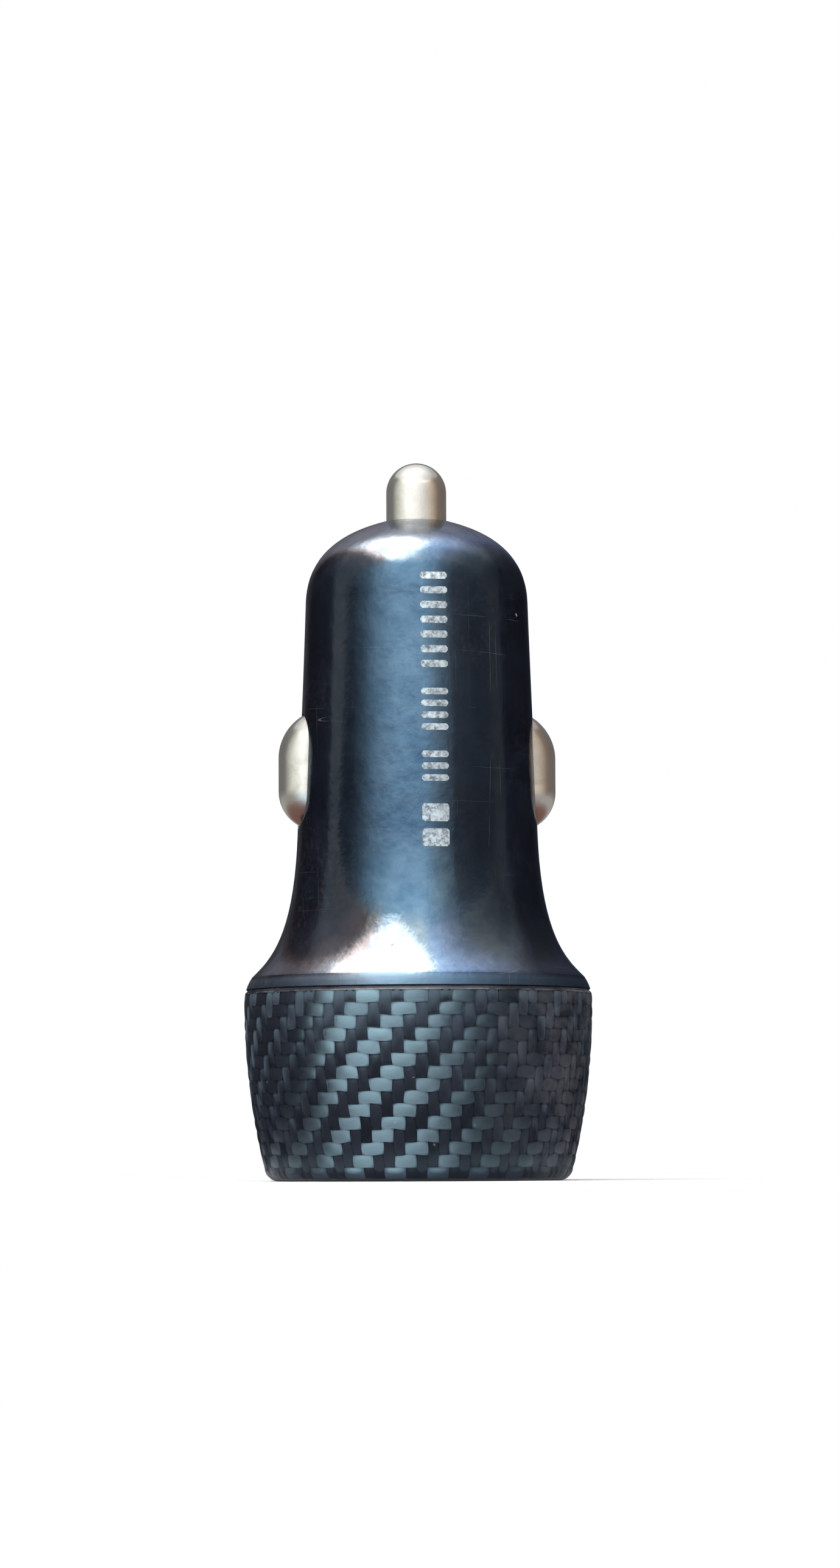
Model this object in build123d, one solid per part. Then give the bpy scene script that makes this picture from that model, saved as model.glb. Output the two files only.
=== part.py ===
from build123d import *
import os
from math import asin, cos, degrees, radians, sin, sqrt

# Car charger plug for a 12 V accessory socket, standing on its port face with the tip up.
# Millimetres. Z runs along the plug's axis, the ground shoes are on X, and Z = 0 is the head's rim.

# Head outline
head_radius = 14.88           # at its widest line
head_widest_height = 15.2
head_side_radius = 60.0       # bow of the side below the widest line
shoulder_radius = 3.8         # rounding above the widest line
shoulder_turn = 34.5          # degrees that the rounding turns inwards
seam_rise = 1.0               # seam between sleeve and barrel, above the widest line
seam_groove = 0.16            # depth of the fine groove at the seam
rim_round = 1.2

# Barrel outline
flare_length = 12.2
flare_start_slope = 44.5      # degrees from the axis, a soft crease above the shoulder
flare_start_pull = 1.9        # how far the flare keeps each end's direction
flare_end_pull = 9.1
barrel_base_radius = 10.28
barrel_nose_radius = 9.52
barrel_length = 20.0
nose_length = 6.9
nose_start_pull = 4.2
nose_end_pull = 3.6
nose_crown_slope = 15.0       # degrees left at the edge of the tip hole
nose_land = 0.15              # flat ring around the tip hole

# Housing walls
wall = 1.5
nose_wall = 2.6
spigot_wall = 1.5             # tail of the barrel that the head sleeve slips over
spigot_length = 4.0
spigot_play = 0.05
spigot_end_gap = 0.1
bead_height = 0.25            # snap bead round the spigot
bead_width = 1.0
bead_drop = 2.0               # bead's middle below the seam

# Head sleeve inside
sleeve_top_wall = 1.7         # around the barrel's spigot
sleeve_rim_wall = 1.14        # around the panel
lip_thickness = 1.6
lip_overlap = 1.1             # lip in front of the panel's flange

# Port panel
panel_recess = 0.5            # panel's face behind the rim
panel_thickness = 2.3
panel_play = 0.08
mouth_wall = 1.2              # panel in front of each port shell
mouth_chamfer = 0.4
shell_play = 0.1              # between a port shell and its pocket

# Charging ports, one on each face of the board
port_width = 12.5             # opening inside the shell
port_height = 5.12
port_corner = 0.6
shell_sheet = 0.3
shell_length = 13.0
tongue_width = 11.1
tongue_thickness = 1.84
tongue_roof_gap = 0.68        # tongue to the shell's far wall
tongue_setback = 0.9          # tongue's end behind the shell's mouth
tongue_chamfer = 0.3
insert_block = 2.2            # plastic that closes the back of the shell
contact_width = 1.0
contact_sheet = 0.2
data_contact_pitch = 2.0
supply_contact_pitch = 7.0
supply_contact_setback = 1.0  # behind the tongue's end
data_contact_setback = 2.0
contact_tail = 0.9            # tails behind the shell before they turn to the board
tab_width = 1.3
tab_depth = 0.7
tab_inset = 3.0               # tabs ahead of the shell's back
tab_play = 0.12

# Circuit board
board_thickness = 1.6
board_gap = 0.6               # board's end behind the panel
board_margin = 0.3            # board beyond the lamp
board_wall_gap = 0.58         # board's edge to the barrel's wall at the end of the flare
board_head_length = 13.2
board_corner = 0.6
guide_play = 0.1              # board to the guide ribs
guide_thickness = 0.9
guide_grip = 0.8              # how far the ribs reach over the board
guide_stop = 0.9              # bridge between the ribs that stops the board

# Centre contact
tip_radius = 2.58
tip_reach = 5.1               # tip above the nose
tip_play = 0.1
tip_flange_radius = 4.0
tip_flange_thickness = 1.0
tip_tail_radius = 2.0
tip_tail_length = 1.2
seat_gap = 0.03               # sprung contacts to their seats in the housing
tip_spring_length = 7.65
tip_spring_wire = 0.5
wire_sides = 6                # wire and leads are drawn with this many flats
tip_spring_radius = 2.75      # to the wire's middle
tip_spring_turns = 3          # open turns, beside one closed turn at each end
spring_gap = 0.05             # spring ends to what they push on
cup_radius = 3.8
cup_floor = 0.8
cup_rim = 0.8
cup_rim_wall = 0.4
cup_lug_length = 2.0
cup_lug_width = 4.0
cup_lug_thickness = 0.7

# Ground shoes
shoe_rise = 5.4               # shoe's middle above the flare
shoe_length = 9.6
shoe_width = 5.2
shoe_reach = 1.86             # shoe's crown beyond the barrel
shoe_lead_round = 4.3         # rounding towards the tip, which leads the plug in
shoe_foot_round = 3.3         # rounding towards the head
shoe_end_drop = 2.1           # how far both roundings fall at the shoe's ends
shoe_sheet = 0.45
shoe_flange = 1.35            # flange beyond the dome, all round
shoe_seat_wall = 1.87         # barrel wall in front of the flange
shoe_pad_margin = 0.8         # flat pad beyond the flange
shoe_play = 0.12
leaf_sheet = 0.3
leaf_width = 3.4
leaf_overlap = 0.7            # leaf ends on the shoe's flange
leaf_room = 3.42              # between the board and the shoe's flange

# Components on the board
part_gap = 1.0                # room between neighbours
inductor_radius = 4.4
inductor_height = 5.4
inductor_flange = 1.0
inductor_post_radius = 2.0
winding_radius = 4.0
winding_ridge = 0.35
winding_ridges = 4
winding_play = 0.06
can_radius = 3.15
output_can_length = 8.4
input_can_length = 10.6
can_bevel = 0.5
can_groove = 0.3              # depth of the crimped groove
can_groove_rise = 1.6
can_board_gap = 0.05
can_cup_gap = 3.0             # input can to the spring cup's lugs
lead_radius = 0.3
lead_pitch = 2.5
lead_run = 0.9
lead_bend = 0.5
regulator_length = 4.9
regulator_width = 3.9
regulator_height = 1.45
regulator_standoff = 0.15
regulator_bevel = 0.25
pin_rows = 4
pin_pitch = 1.27
pin_span = 6.0
pin_sheet = 0.2
pin_width = 0.42
pin_foot = 0.6
diode_length = 4.3
diode_width = 2.6
diode_height = 2.1
strap_width = 1.4
strap_foot = 0.9
strap_sheet = 0.25
passive_length = 2.0
passive_width = 1.25
passive_height = 0.6
passive_pitch = 2.9
passive_rows = 3
led_gap = 0.55                # lamp to the port shell beside it
led_width = 2.2
led_height = 1.1
led_depth = 1.2
led_cup_radius = 0.45
led_cup_depth = 0.3
pipe_radius = 0.9
pipe_bevel = 0.15
pipe_flange_radius = 1.25
pipe_flange = 0.45
pipe_play = 0.05


def head_side(height):
    """Radius of the head's bowed side at a height."""
    drop = head_widest_height - height
    return head_radius - head_side_radius + sqrt(head_side_radius ** 2 - drop ** 2)


# Levels and sizes that follow
seam_height = head_widest_height + seam_rise
shoulder_centre = head_radius - shoulder_radius
seam_radius = shoulder_centre + sqrt(shoulder_radius ** 2 - seam_rise ** 2)
shoulder_end_radius = shoulder_centre + shoulder_radius * cos(radians(shoulder_turn))
flare_base = head_widest_height + shoulder_radius * sin(radians(shoulder_turn))
flare_top = flare_base + flare_length
nose_base = flare_top + barrel_length
nose_top = nose_base + nose_length
tip_top = nose_top + tip_reach
tip_hole_radius = tip_radius + tip_play
spigot_radius = seam_radius - sleeve_top_wall - spigot_play
spigot_base = seam_height - spigot_length
spigot_bore_radius = spigot_radius - spigot_wall
bead_level = seam_height - bead_drop
sleeve_bore_radius = head_side(lip_thickness) - sleeve_rim_wall
lip_radius = sleeve_bore_radius - lip_overlap
panel_back = panel_recess + panel_thickness
shell_front = panel_recess + mouth_wall
shell_back = shell_front + shell_length
shell_width = port_width + 2 * shell_sheet
shell_height = port_height + 2 * shell_sheet
shell_corner = port_corner + shell_sheet
board_face = board_thickness / 2
port_centre = board_face + shell_height / 2
tongue_top = port_centre + port_height / 2 - tongue_roof_gap
tongue_face = tongue_top - tongue_thickness
tongue_end = shell_front + tongue_setback
tab_level = shell_back - tab_inset
tip_seat = nose_top - nose_wall
tip_flange_top = tip_seat - seat_gap
tip_flange_base = tip_flange_top - tip_flange_thickness
cup_seat = tip_flange_base - tip_spring_length
board_top = cup_seat - cup_floor
board_base = panel_back + board_gap
board_step = board_base + board_head_length
led_offset = (shell_width + led_width) / 2 + led_gap
board_head_half = led_offset + led_width / 2 + board_margin
board_barrel_half = barrel_base_radius - wall - board_wall_gap
shoe_height = flare_top + shoe_rise
barrel_slope = (barrel_base_radius - barrel_nose_radius) / barrel_length
shoe_barrel_radius = barrel_base_radius - barrel_slope * shoe_rise
shoe_crown = shoe_barrel_radius + shoe_reach
shoe_seat = shoe_barrel_radius - shoe_seat_wall
shoe_flange_front = shoe_seat - seat_gap
shoe_flange_back = shoe_flange_front - shoe_sheet
board_neck_half = shoe_flange_back - leaf_room
flange_length = shoe_length + 2 * shoe_flange
flange_width = shoe_width + 2 * shoe_flange
guide_base = seam_height + part_gap
guide_top = shoe_height - flange_length / 2 - part_gap
guide_inner = board_barrel_half - guide_grip
guide_face = board_face + guide_play
board_shoulder = guide_top - guide_stop - guide_play
output_can_base = board_step + lead_run + lead_radius
input_can_base = board_top - cup_lug_length - can_cup_gap - input_can_length
inductor_level = board_step + part_gap / 2 + inductor_radius
regulator_base = board_shoulder + part_gap
diode_base = regulator_base + regulator_length + part_gap + strap_sheet
passive_column = inductor_radius + (part_gap + passive_width) / 2
far = 2 * head_radius         # beyond every surface of the plug


def at(radius, height):
    """Point of an outline in the XZ plane."""
    return (radius, 0, height)


def along(start, degrees_up, distance):
    """Point at a distance from start, in a direction of the XZ plane."""
    angle = radians(degrees_up)
    return at(start[0] + distance * cos(angle), start[2] + distance * sin(angle))


def turned(edges):
    """Solid turned about the plug's axis from the edges of a closed outline."""
    return revolve(make_face(edges), Axis.Z)


def turned_corners(*corners):
    """Solid turned about the plug's axis from straight edges."""
    return turned(Polyline(*corners, close=True).edges())


def disc(radius, low, high):
    return Pos(0, 0, low) * Cylinder(radius, high - low, align=(Align.CENTER, Align.CENTER, Align.MIN))


def block(x_low, x_high, y_low, y_high, z_low, z_high):
    sides = (x_high - x_low, y_high - y_low, z_high - z_low)
    return Pos(x_low, y_low, z_low) * Box(*sides, align=(Align.MIN, Align.MIN, Align.MIN))


def prism(sketch, low, high):
    """Sketch in plan, raised from one level to another."""
    return extrude(Plane.XY.offset(low) * sketch, high - low)


def side_plate(sketch, inner, outer):
    """Sketch on the +X side at the shoe's height, raised outwards."""
    return extrude(Plane.YZ.offset(inner) * Pos(0, shoe_height) * sketch, outer - inner)


def side_pill(growth, inner, outer):
    """Round-ended bar of the shoe's outline, grown all round, on the +X side."""
    outline = SlotOverall(shoe_length + 2 * growth, shoe_width + 2 * growth, rotation=90)
    return side_plate(outline, inner, outer)


def side_frame(growth, inner, outer):
    """Rectangular bar of the shoe flange's outline, grown all round, on the +X side."""
    return side_plate(Rectangle(flange_width + 2 * growth, flange_length + 2 * growth), inner, outer)


def both_sides(shape):
    return shape + mirror(shape, Plane.YZ)


def half_turn(shape):
    return Rot(0, 0, 180) * shape


def port_outline(width, height, corner):
    """Rounded rectangle in plan around the rear port's middle."""
    return Pos(0, port_centre) * RectangleRounded(width, height, corner)


def plug_outline(inset):
    """The plug's outside from rim to nose, drawn in towards the axis by inset."""
    draft = degrees(asin(barrel_slope))
    half_way = head_widest_height / 2
    rim = at(head_side(0) - inset, 0)
    side_middle = at(head_side(half_way) - inset, half_way)
    widest = at(head_radius - inset, head_widest_height)
    shoulder_pivot = at(shoulder_centre - inset, head_widest_height)
    shoulder_middle = along(shoulder_pivot, shoulder_turn / 2, shoulder_radius)
    flare_start = at(shoulder_end_radius - inset, flare_base)
    flare_end = at(barrel_base_radius - inset, flare_top)
    nose_start = at(barrel_nose_radius - inset, nose_base)
    nose_end = at(tip_hole_radius + nose_land - inset, nose_top)
    flare_start_handle = along(flare_start, 90 + flare_start_slope, flare_start_pull)
    flare_end_handle = along(flare_end, 90 + draft, -flare_end_pull)
    nose_start_handle = along(nose_start, 90 + draft, nose_start_pull)
    nose_end_handle = along(nose_end, 180 - nose_crown_slope, -nose_end_pull)
    return turned([
        Line(at(0, 0), rim),
        ThreePointArc(rim, side_middle, widest),
        ThreePointArc(widest, shoulder_middle, flare_start),
        Bezier(flare_start, flare_start_handle, flare_end_handle, flare_end),
        Line(flare_end, nose_start),
        Bezier(nose_start, nose_start_handle, nose_end_handle, nose_end),
        Line(nose_end, at(0, nose_top)),
        Line(at(0, nose_top), at(0, 0)),
    ])


def seam_notch():
    """Fine groove around the seam, shared by the sleeve and the barrel."""
    root = at(seam_radius - seam_groove, seam_height)
    upper = at(seam_radius + seam_groove, seam_height + 2 * seam_groove)
    lower = at(seam_radius + seam_groove, seam_height - 2 * seam_groove)
    return turned_corners(root, upper, lower)


def snap_bead(play):
    """Ring on the spigot that snaps into the sleeve's groove."""
    root = spigot_radius - spigot_wall / 2
    base_reach = bead_width / 2 + play
    crown_reach = base_reach - bead_height
    crown = spigot_radius + bead_height + play
    return turned_corners(
        at(root, bead_level - base_reach),
        at(spigot_radius, bead_level - base_reach),
        at(crown, bead_level - crown_reach),
        at(crown, bead_level + crown_reach),
        at(spigot_radius, bead_level + base_reach),
        at(root, bead_level + base_reach),
    )


def barrel_housing():
    """Barrel, flare and nose in one moulding, with ribs that guide the board."""
    barrel = plug_outline(0) & disc(far, seam_height, nose_top)
    barrel += disc(spigot_radius, spigot_base, seam_height + wall)
    barrel += snap_bead(0)
    barrel -= plug_outline(wall) & disc(spigot_bore_radius, spigot_base, tip_seat)
    inside = plug_outline(wall / 2)
    ribs = block(guide_inner, far, guide_face, guide_face + guide_thickness, guide_base, guide_top)
    ribs += mirror(ribs, Plane.XZ)
    ribs += block(guide_inner, far, -guide_face, guide_face, guide_top - guide_stop, guide_top)
    barrel += both_sides(ribs & inside)
    barrel += both_sides(side_frame(shoe_pad_margin, shoe_seat, far) & inside)
    barrel -= both_sides(side_frame(shoe_play, shoe_seat - wall, shoe_seat))
    barrel -= both_sides(side_pill(shoe_play, shoe_seat - wall, far))
    barrel -= disc(tip_hole_radius, tip_seat - wall, nose_top)
    return barrel - seam_notch()


def head_sleeve():
    """Cap around the port end, slipped over the barrel's spigot."""
    sleeve = plug_outline(0) & disc(far, 0, seam_height)
    rim = sleeve.edges().filter_by(GeomType.CIRCLE).sort_by(Axis.Z)[0]
    sleeve = fillet(rim, rim_round)
    sleeve -= disc(lip_radius, 0, lip_thickness)
    sleeve -= disc(sleeve_bore_radius, lip_thickness, spigot_base - spigot_end_gap)
    sleeve -= disc(spigot_radius + spigot_play, spigot_base - spigot_end_gap, seam_height)
    sleeve -= snap_bead(spigot_play)
    return sleeve - seam_notch()


def port_panel():
    """Plate behind the sleeve's lip, with a mouth and a shell pocket for each port."""
    panel = disc(lip_radius - panel_play, panel_recess, lip_thickness)
    panel += disc(sleeve_bore_radius - panel_play, lip_thickness, panel_back)
    bevel_outline = port_outline(
        port_width + 2 * mouth_chamfer, port_height + 2 * mouth_chamfer, port_corner + mouth_chamfer
    )
    mouth = extrude(Plane.XY.offset(panel_recess) * bevel_outline, mouth_chamfer, taper=45)
    mouth += prism(port_outline(port_width, port_height, port_corner), panel_recess, shell_front)
    pocket_outline = port_outline(
        shell_width + 2 * shell_play, shell_height + 2 * shell_play, shell_corner + shell_play
    )
    mouth += prism(pocket_outline, shell_front, panel_back)
    panel -= mouth
    panel -= half_turn(mouth)
    return panel - pipe_place() * disc(pipe_radius + pipe_play, panel_recess, panel_back)


def pipe_place():
    return Pos(led_offset, board_face + led_height / 2)


def light_pipe():
    """Clear rod that carries the lamp's light to the panel's face."""
    rod = disc(pipe_radius, panel_recess, panel_back)
    rod = chamfer(rod.edges().sort_by(Axis.Z)[0], pipe_bevel)
    return pipe_place() * (rod + disc(pipe_flange_radius, panel_back, panel_back + pipe_flange))


def usb_shell():
    """Folded sheet tube of the rear port, with tabs that reach into the board."""
    shell = prism(port_outline(shell_width, shell_height, shell_corner), shell_front, shell_back)
    shell -= prism(port_outline(port_width, port_height, port_corner), shell_front, shell_back)
    tab = block(
        port_width / 2, shell_width / 2,
        board_face - tab_depth, board_face + 2 * shell_corner,
        tab_level - tab_width / 2, tab_level + tab_width / 2,
    )
    return shell + both_sides(tab)


def usb_contacts():
    """Four sprung strips on the rear port's tongue, with tails that turn to the board."""
    half_sheet = contact_sheet / 2
    tail_back = shell_back + contact_tail
    strips = []
    for pitch, setback in (
        (data_contact_pitch, data_contact_setback),
        (supply_contact_pitch, supply_contact_setback),
    ):
        front = tongue_end + setback
        profile = Plane.YZ * make_face(Polyline(
            (tongue_face - half_sheet, front),
            (tongue_face - half_sheet, tail_back - contact_sheet),
            (board_face, tail_back - contact_sheet),
            (board_face, tail_back),
            (tongue_face + half_sheet, tail_back),
            (tongue_face + half_sheet, front),
            close=True,
        ))
        strip = extrude(profile, contact_width / 2, both=True)
        strips += [Pos(-pitch / 2) * strip, Pos(pitch / 2) * strip]
    return Part() + strips


def usb_insert():
    """Moulded tongue and back block of the rear port, grooved for its contacts."""
    back = shell_back - insert_block
    insert = prism(port_outline(port_width, port_height, port_corner), back, shell_back)
    tongue = Plane.YZ * make_face(Polyline(
        (tongue_face, back),
        (tongue_face, tongue_end + tongue_chamfer),
        (tongue_face + tongue_chamfer, tongue_end),
        (tongue_top - tongue_chamfer, tongue_end),
        (tongue_top, tongue_end + tongue_chamfer),
        (tongue_top, back),
        close=True,
    ))
    insert += extrude(tongue, tongue_width / 2, both=True)
    return insert - usb_contacts()


def circuit_board():
    """Board that steps in twice, with slots for the shells' tabs."""
    half = [
        (board_head_half, board_base),
        (board_head_half, board_step),
        (board_barrel_half, board_step),
        (board_barrel_half, board_shoulder),
        (board_neck_half, board_shoulder),
        (board_neck_half, board_top),
    ]
    other_half = [(-x, z) for x, z in reversed(half)]
    outline = make_face(Polyline(*half, *other_half, close=True))
    board = extrude(Plane.XZ * outline, board_thickness / 2, both=True)
    corners = board.edges().filter_by(Axis.Y).sort_by(Axis.Z)
    board = fillet(corners[:2] + corners[-2:], board_corner)
    slot = block(
        port_width / 2 - tab_play, shell_width / 2 + tab_play,
        -board_face, board_face,
        tab_level - tab_width / 2 - tab_play, tab_level + tab_width / 2 + tab_play,
    )
    return board - both_sides(slot)


def tip_pin():
    """Turned centre contact with a round end and a flange that stops it in the nose."""
    dome_base = tip_top - tip_radius
    dome_middle = along(at(0, dome_base), 45, tip_radius)
    corners = Polyline(
        at(0, tip_top),
        at(0, tip_flange_base - tip_tail_length),
        at(tip_tail_radius, tip_flange_base - tip_tail_length),
        at(tip_tail_radius, tip_flange_base),
        at(tip_flange_radius, tip_flange_base),
        at(tip_flange_radius, tip_flange_top),
        at(tip_radius, tip_flange_top),
        at(tip_radius, dome_base),
    )
    dome = ThreePointArc(at(tip_radius, dome_base), dome_middle, at(0, tip_top))
    return turned(corners.edges() + [dome])


def tip_spring():
    """Coil between the cup on the board and the pin's flange, closed at both ends, built from half turns."""
    wire = tip_spring_wire / 2
    low = cup_seat + spring_gap + wire
    height = tip_flange_base - spring_gap - wire - low
    closed_rise = (tip_spring_wire + spring_gap) / 2
    open_rise = (height - 4 * closed_rise) / (2 * tip_spring_turns)
    rises = [closed_rise] * 2 + [open_rise] * (2 * tip_spring_turns) + [closed_rise] * 2
    half_turns = []
    start = Vector(tip_spring_radius, 0, low)
    for rise in rises:
        section = Plane(origin=start, z_dir=(0, 1, 0)) * RegularPolygon(wire, wire_sides)
        lean = Axis((0, 0, start.Z + rise / 2), (rise * start.X, 0, 2 * start.X ** 2))
        half_turns.append(revolve(section, lean, 180))
        start = Vector(-start.X, 0, start.Z + rise)
    return Part() + half_turns


def spring_cup():
    """Metal cup on the board's end, with two lugs that straddle the board."""
    cup = disc(cup_radius, board_top, cup_seat + cup_rim)
    cup -= disc(cup_radius - cup_rim_wall, cup_seat, cup_seat + cup_rim)
    lug = block(
        -cup_lug_width / 2, cup_lug_width / 2,
        board_face, board_face + cup_lug_thickness,
        board_top - cup_lug_length, board_top,
    )
    return cup + lug + half_turn(lug)


def shoe_bow(inset):
    """Round-backed bar that bends down at both ends, inside the shoe's outline drawn in by inset."""
    crown = shoe_crown - inset
    width = shoe_width - 2 * inset
    depth = crown - shoe_flange_back
    section = Pos(crown - depth, 0) * (SlotOverall(2 * depth, width) & Pos(depth / 2, 0) * Rectangle(depth, width))
    lead_run = sqrt(shoe_lead_round ** 2 - (shoe_lead_round - shoe_end_drop) ** 2)
    foot_run = sqrt(shoe_foot_round ** 2 - (shoe_foot_round - shoe_end_drop) ** 2)
    lead_level = shoe_height + shoe_length / 2 - lead_run
    foot_level = shoe_height - shoe_length / 2 + foot_run
    bow = prism(section, foot_level, lead_level)
    for level, pivot, sense in (
        (lead_level, shoe_crown - shoe_lead_round, -1),
        (foot_level, shoe_crown - shoe_foot_round, 1),
    ):
        outer = Plane.XY.offset(level) * (section & Pos(pivot + far / 2, 0) * Rectangle(far, width))
        bow += revolve(outer, Axis((pivot, 0, level), (0, sense, 0)), 90)
    bow += side_pill(-inset, shoe_flange_back, shoe_crown - shoe_foot_round)
    return bow & side_pill(-inset, shoe_flange_back, crown)


def ground_shoe():
    """Drawn sheet dome with a flange that stops it behind the barrel's slot."""
    flange_outline = RectangleRounded(flange_width, flange_length, shoe_flange)
    flange = side_plate(flange_outline, shoe_flange_back, shoe_flange_front)
    return flange + shoe_bow(0) - shoe_bow(shoe_sheet)


def ground_spring():
    """Bowed leaf from the board's edge to the shoe's flange."""
    half_span = shoe_length / 2 + leaf_overlap
    back = board_neck_half + spring_gap
    hollow_back = back + leaf_sheet
    rise = shoe_flange_back - spring_gap - hollow_back
    bow = (rise ** 2 + half_span ** 2) / (2 * rise)
    centre = at(hollow_back + bow, shoe_height)
    swing = degrees(asin(half_span / bow))
    low_in = along(centre, 180 + swing, bow)
    high_in = along(centre, 180 - swing, bow)
    low_out = along(centre, 180 + swing, bow + leaf_sheet)
    high_out = along(centre, 180 - swing, bow + leaf_sheet)
    leaf = make_face([
        ThreePointArc(low_in, at(hollow_back, shoe_height), high_in),
        Line(high_in, high_out),
        ThreePointArc(high_out, at(back, shoe_height), low_out),
        Line(low_out, low_in),
    ])
    return extrude(leaf, leaf_width / 2, both=True)


def on_front(shape, level):
    """A piece built standing on Z = 0, laid on the board's front face."""
    return Pos(0, -board_face, level) * Rot(90, 0, 0) * shape


def inductor_core():
    """Ferrite bobbin on the board's front face."""
    core = turned_corners(
        at(0, 0),
        at(inductor_radius, 0),
        at(inductor_radius, inductor_flange),
        at(inductor_post_radius, inductor_flange),
        at(inductor_post_radius, inductor_height - inductor_flange),
        at(inductor_radius, inductor_height - inductor_flange),
        at(inductor_radius, inductor_height),
        at(0, inductor_height),
    )
    return on_front(core, inductor_level)


def inductor_winding():
    """Copper turns on the bobbin, as bevelled ridges."""
    low = inductor_flange + winding_play
    high = inductor_height - inductor_flange - winding_play
    inner = inductor_post_radius + winding_play
    valley = winding_radius - winding_ridge
    ridge = (high - low) / winding_ridges
    corners = [at(inner, high), at(inner, low)]
    for turn in range(winding_ridges):
        start = low + turn * ridge
        corners += [at(valley, start), at(winding_radius, start + ridge / 2)]
    corners.append(at(valley, high))
    return on_front(turned_corners(*corners), inductor_level)


def capacitor(length, base):
    """Can on the board's rear face, its leads turned down to the board."""
    drop = can_radius + can_board_gap
    can = turned_corners(
        at(0, 0),
        at(can_radius, 0),
        at(can_radius, can_groove_rise - can_groove),
        at(can_radius - can_groove, can_groove_rise),
        at(can_radius, can_groove_rise + can_groove),
        at(can_radius, length),
        at(0, length),
    )
    can = chamfer(can.edges().filter_by(GeomType.CIRCLE).sort_by(Axis.Z)[-1], can_bevel)
    wire = RegularPolygon(lead_radius, wire_sides)
    elbow = Pos(0, 0, lead_bend - lead_run) * wire
    foot = Pos(0, -lead_bend, -lead_run) * Rot(90, 0, 0) * wire
    lead = extrude(elbow, lead_run - lead_bend)
    lead += revolve(elbow, Axis((0, -lead_bend, lead_bend - lead_run), (-1, 0, 0)), 90)
    lead += extrude(foot, drop - lead_bend)
    can += [Pos(-lead_pitch / 2) * lead, Pos(lead_pitch / 2) * lead]
    return Pos(0, board_face + drop, base) * can


def regulator_chip():
    """Eight-legged chip on the board's front face."""
    top = regulator_standoff + regulator_height
    shank = regulator_standoff + regulator_height / 2
    knee = pin_span / 2 - pin_foot
    half_sheet = pin_sheet / 2
    body = block(
        -regulator_width / 2, regulator_width / 2,
        -regulator_length / 2, regulator_length / 2,
        regulator_standoff, top,
    )
    body = chamfer(body.faces().sort_by(Axis.Z)[-1].edges(), regulator_bevel)
    profile = Plane.XZ * make_face(Polyline(
        (regulator_width / 2, shank - half_sheet),
        (knee - half_sheet, shank - half_sheet),
        (knee - half_sheet, 0),
        (pin_span / 2, 0),
        (pin_span / 2, pin_sheet),
        (knee + half_sheet, pin_sheet),
        (knee + half_sheet, shank + half_sheet),
        (regulator_width / 2, shank + half_sheet),
        close=True,
    ))
    pin = extrude(profile, pin_width / 2, both=True)
    first = -pin_pitch * (pin_rows - 1) / 2
    for row in range(pin_rows):
        body += both_sides(Pos(0, first + row * pin_pitch) * pin)
    return on_front(body, regulator_base + regulator_length / 2)


def rectifier_diode():
    """Moulded diode on the board's front face, held by two folded straps."""
    end = diode_length / 2
    body = block(-diode_width / 2, diode_width / 2, -end, end, strap_sheet, diode_height)
    foot = block(-strap_width / 2, strap_width / 2, end - strap_foot, end + strap_sheet, 0, strap_sheet)
    strap = block(-strap_width / 2, strap_width / 2, end, end + strap_sheet, 0, diode_height / 2)
    body += foot + strap + half_turn(foot + strap)
    return on_front(body, diode_base + end)


def chip_passives():
    """Small chip components in two columns on each face of the board."""
    chip = block(
        -passive_width / 2, passive_width / 2,
        board_face, board_face + passive_height,
        -passive_length / 2, passive_length / 2,
    )
    chips = []
    for row in range(passive_rows):
        level = inductor_level + (row - (passive_rows - 1) / 2) * passive_pitch
        for column in (-passive_column, passive_column):
            placed = Pos(column, 0, level) * chip
            chips += [placed, mirror(placed, Plane.XZ)]
    return Part() + chips


def status_led():
    """Side-looking lamp at the board's end, behind the light pipe."""
    lamp = block(
        led_offset - led_width / 2, led_offset + led_width / 2,
        board_face, board_face + led_height,
        board_base, board_base + led_depth,
    )
    return lamp - pipe_place() * disc(led_cup_radius, board_base, board_base + led_cup_depth)


def pieces():
    """Every piece of the plug by name."""
    shoe = ground_shoe()
    leaf = ground_spring()
    shell = usb_shell()
    insert = usb_insert()
    contacts = usb_contacts()
    return {
        "barrel_housing": barrel_housing(),
        "head_sleeve": head_sleeve(),
        "port_panel": port_panel(),
        "light_pipe": light_pipe(),
        "tip_pin": tip_pin(),
        "tip_spring": tip_spring(),
        "spring_cup": spring_cup(),
        "ground_shoe_right": shoe,
        "ground_shoe_left": mirror(shoe, Plane.YZ),
        "ground_spring_right": leaf,
        "ground_spring_left": mirror(leaf, Plane.YZ),
        "circuit_board": circuit_board(),
        "usb_shell_rear": shell,
        "usb_shell_front": half_turn(shell),
        "usb_insert_rear": insert,
        "usb_insert_front": half_turn(insert),
        "usb_contacts_rear": contacts,
        "usb_contacts_front": half_turn(contacts),
        "inductor_core": inductor_core(),
        "inductor_winding": inductor_winding(),
        "output_capacitor": capacitor(output_can_length, output_can_base),
        "input_capacitor": capacitor(input_can_length, input_can_base),
        "regulator_chip": regulator_chip(),
        "rectifier_diode": rectifier_diode(),
        "chip_passives": chip_passives(),
        "status_led": status_led(),
    }


os.makedirs("parts", exist_ok=True)
for name, shape in pieces().items():
    shape.label = name
    export_step(shape, f"parts/{name}.step")
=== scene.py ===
import math
import random
import bpy
from mathutils import Matrix, Vector


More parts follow.
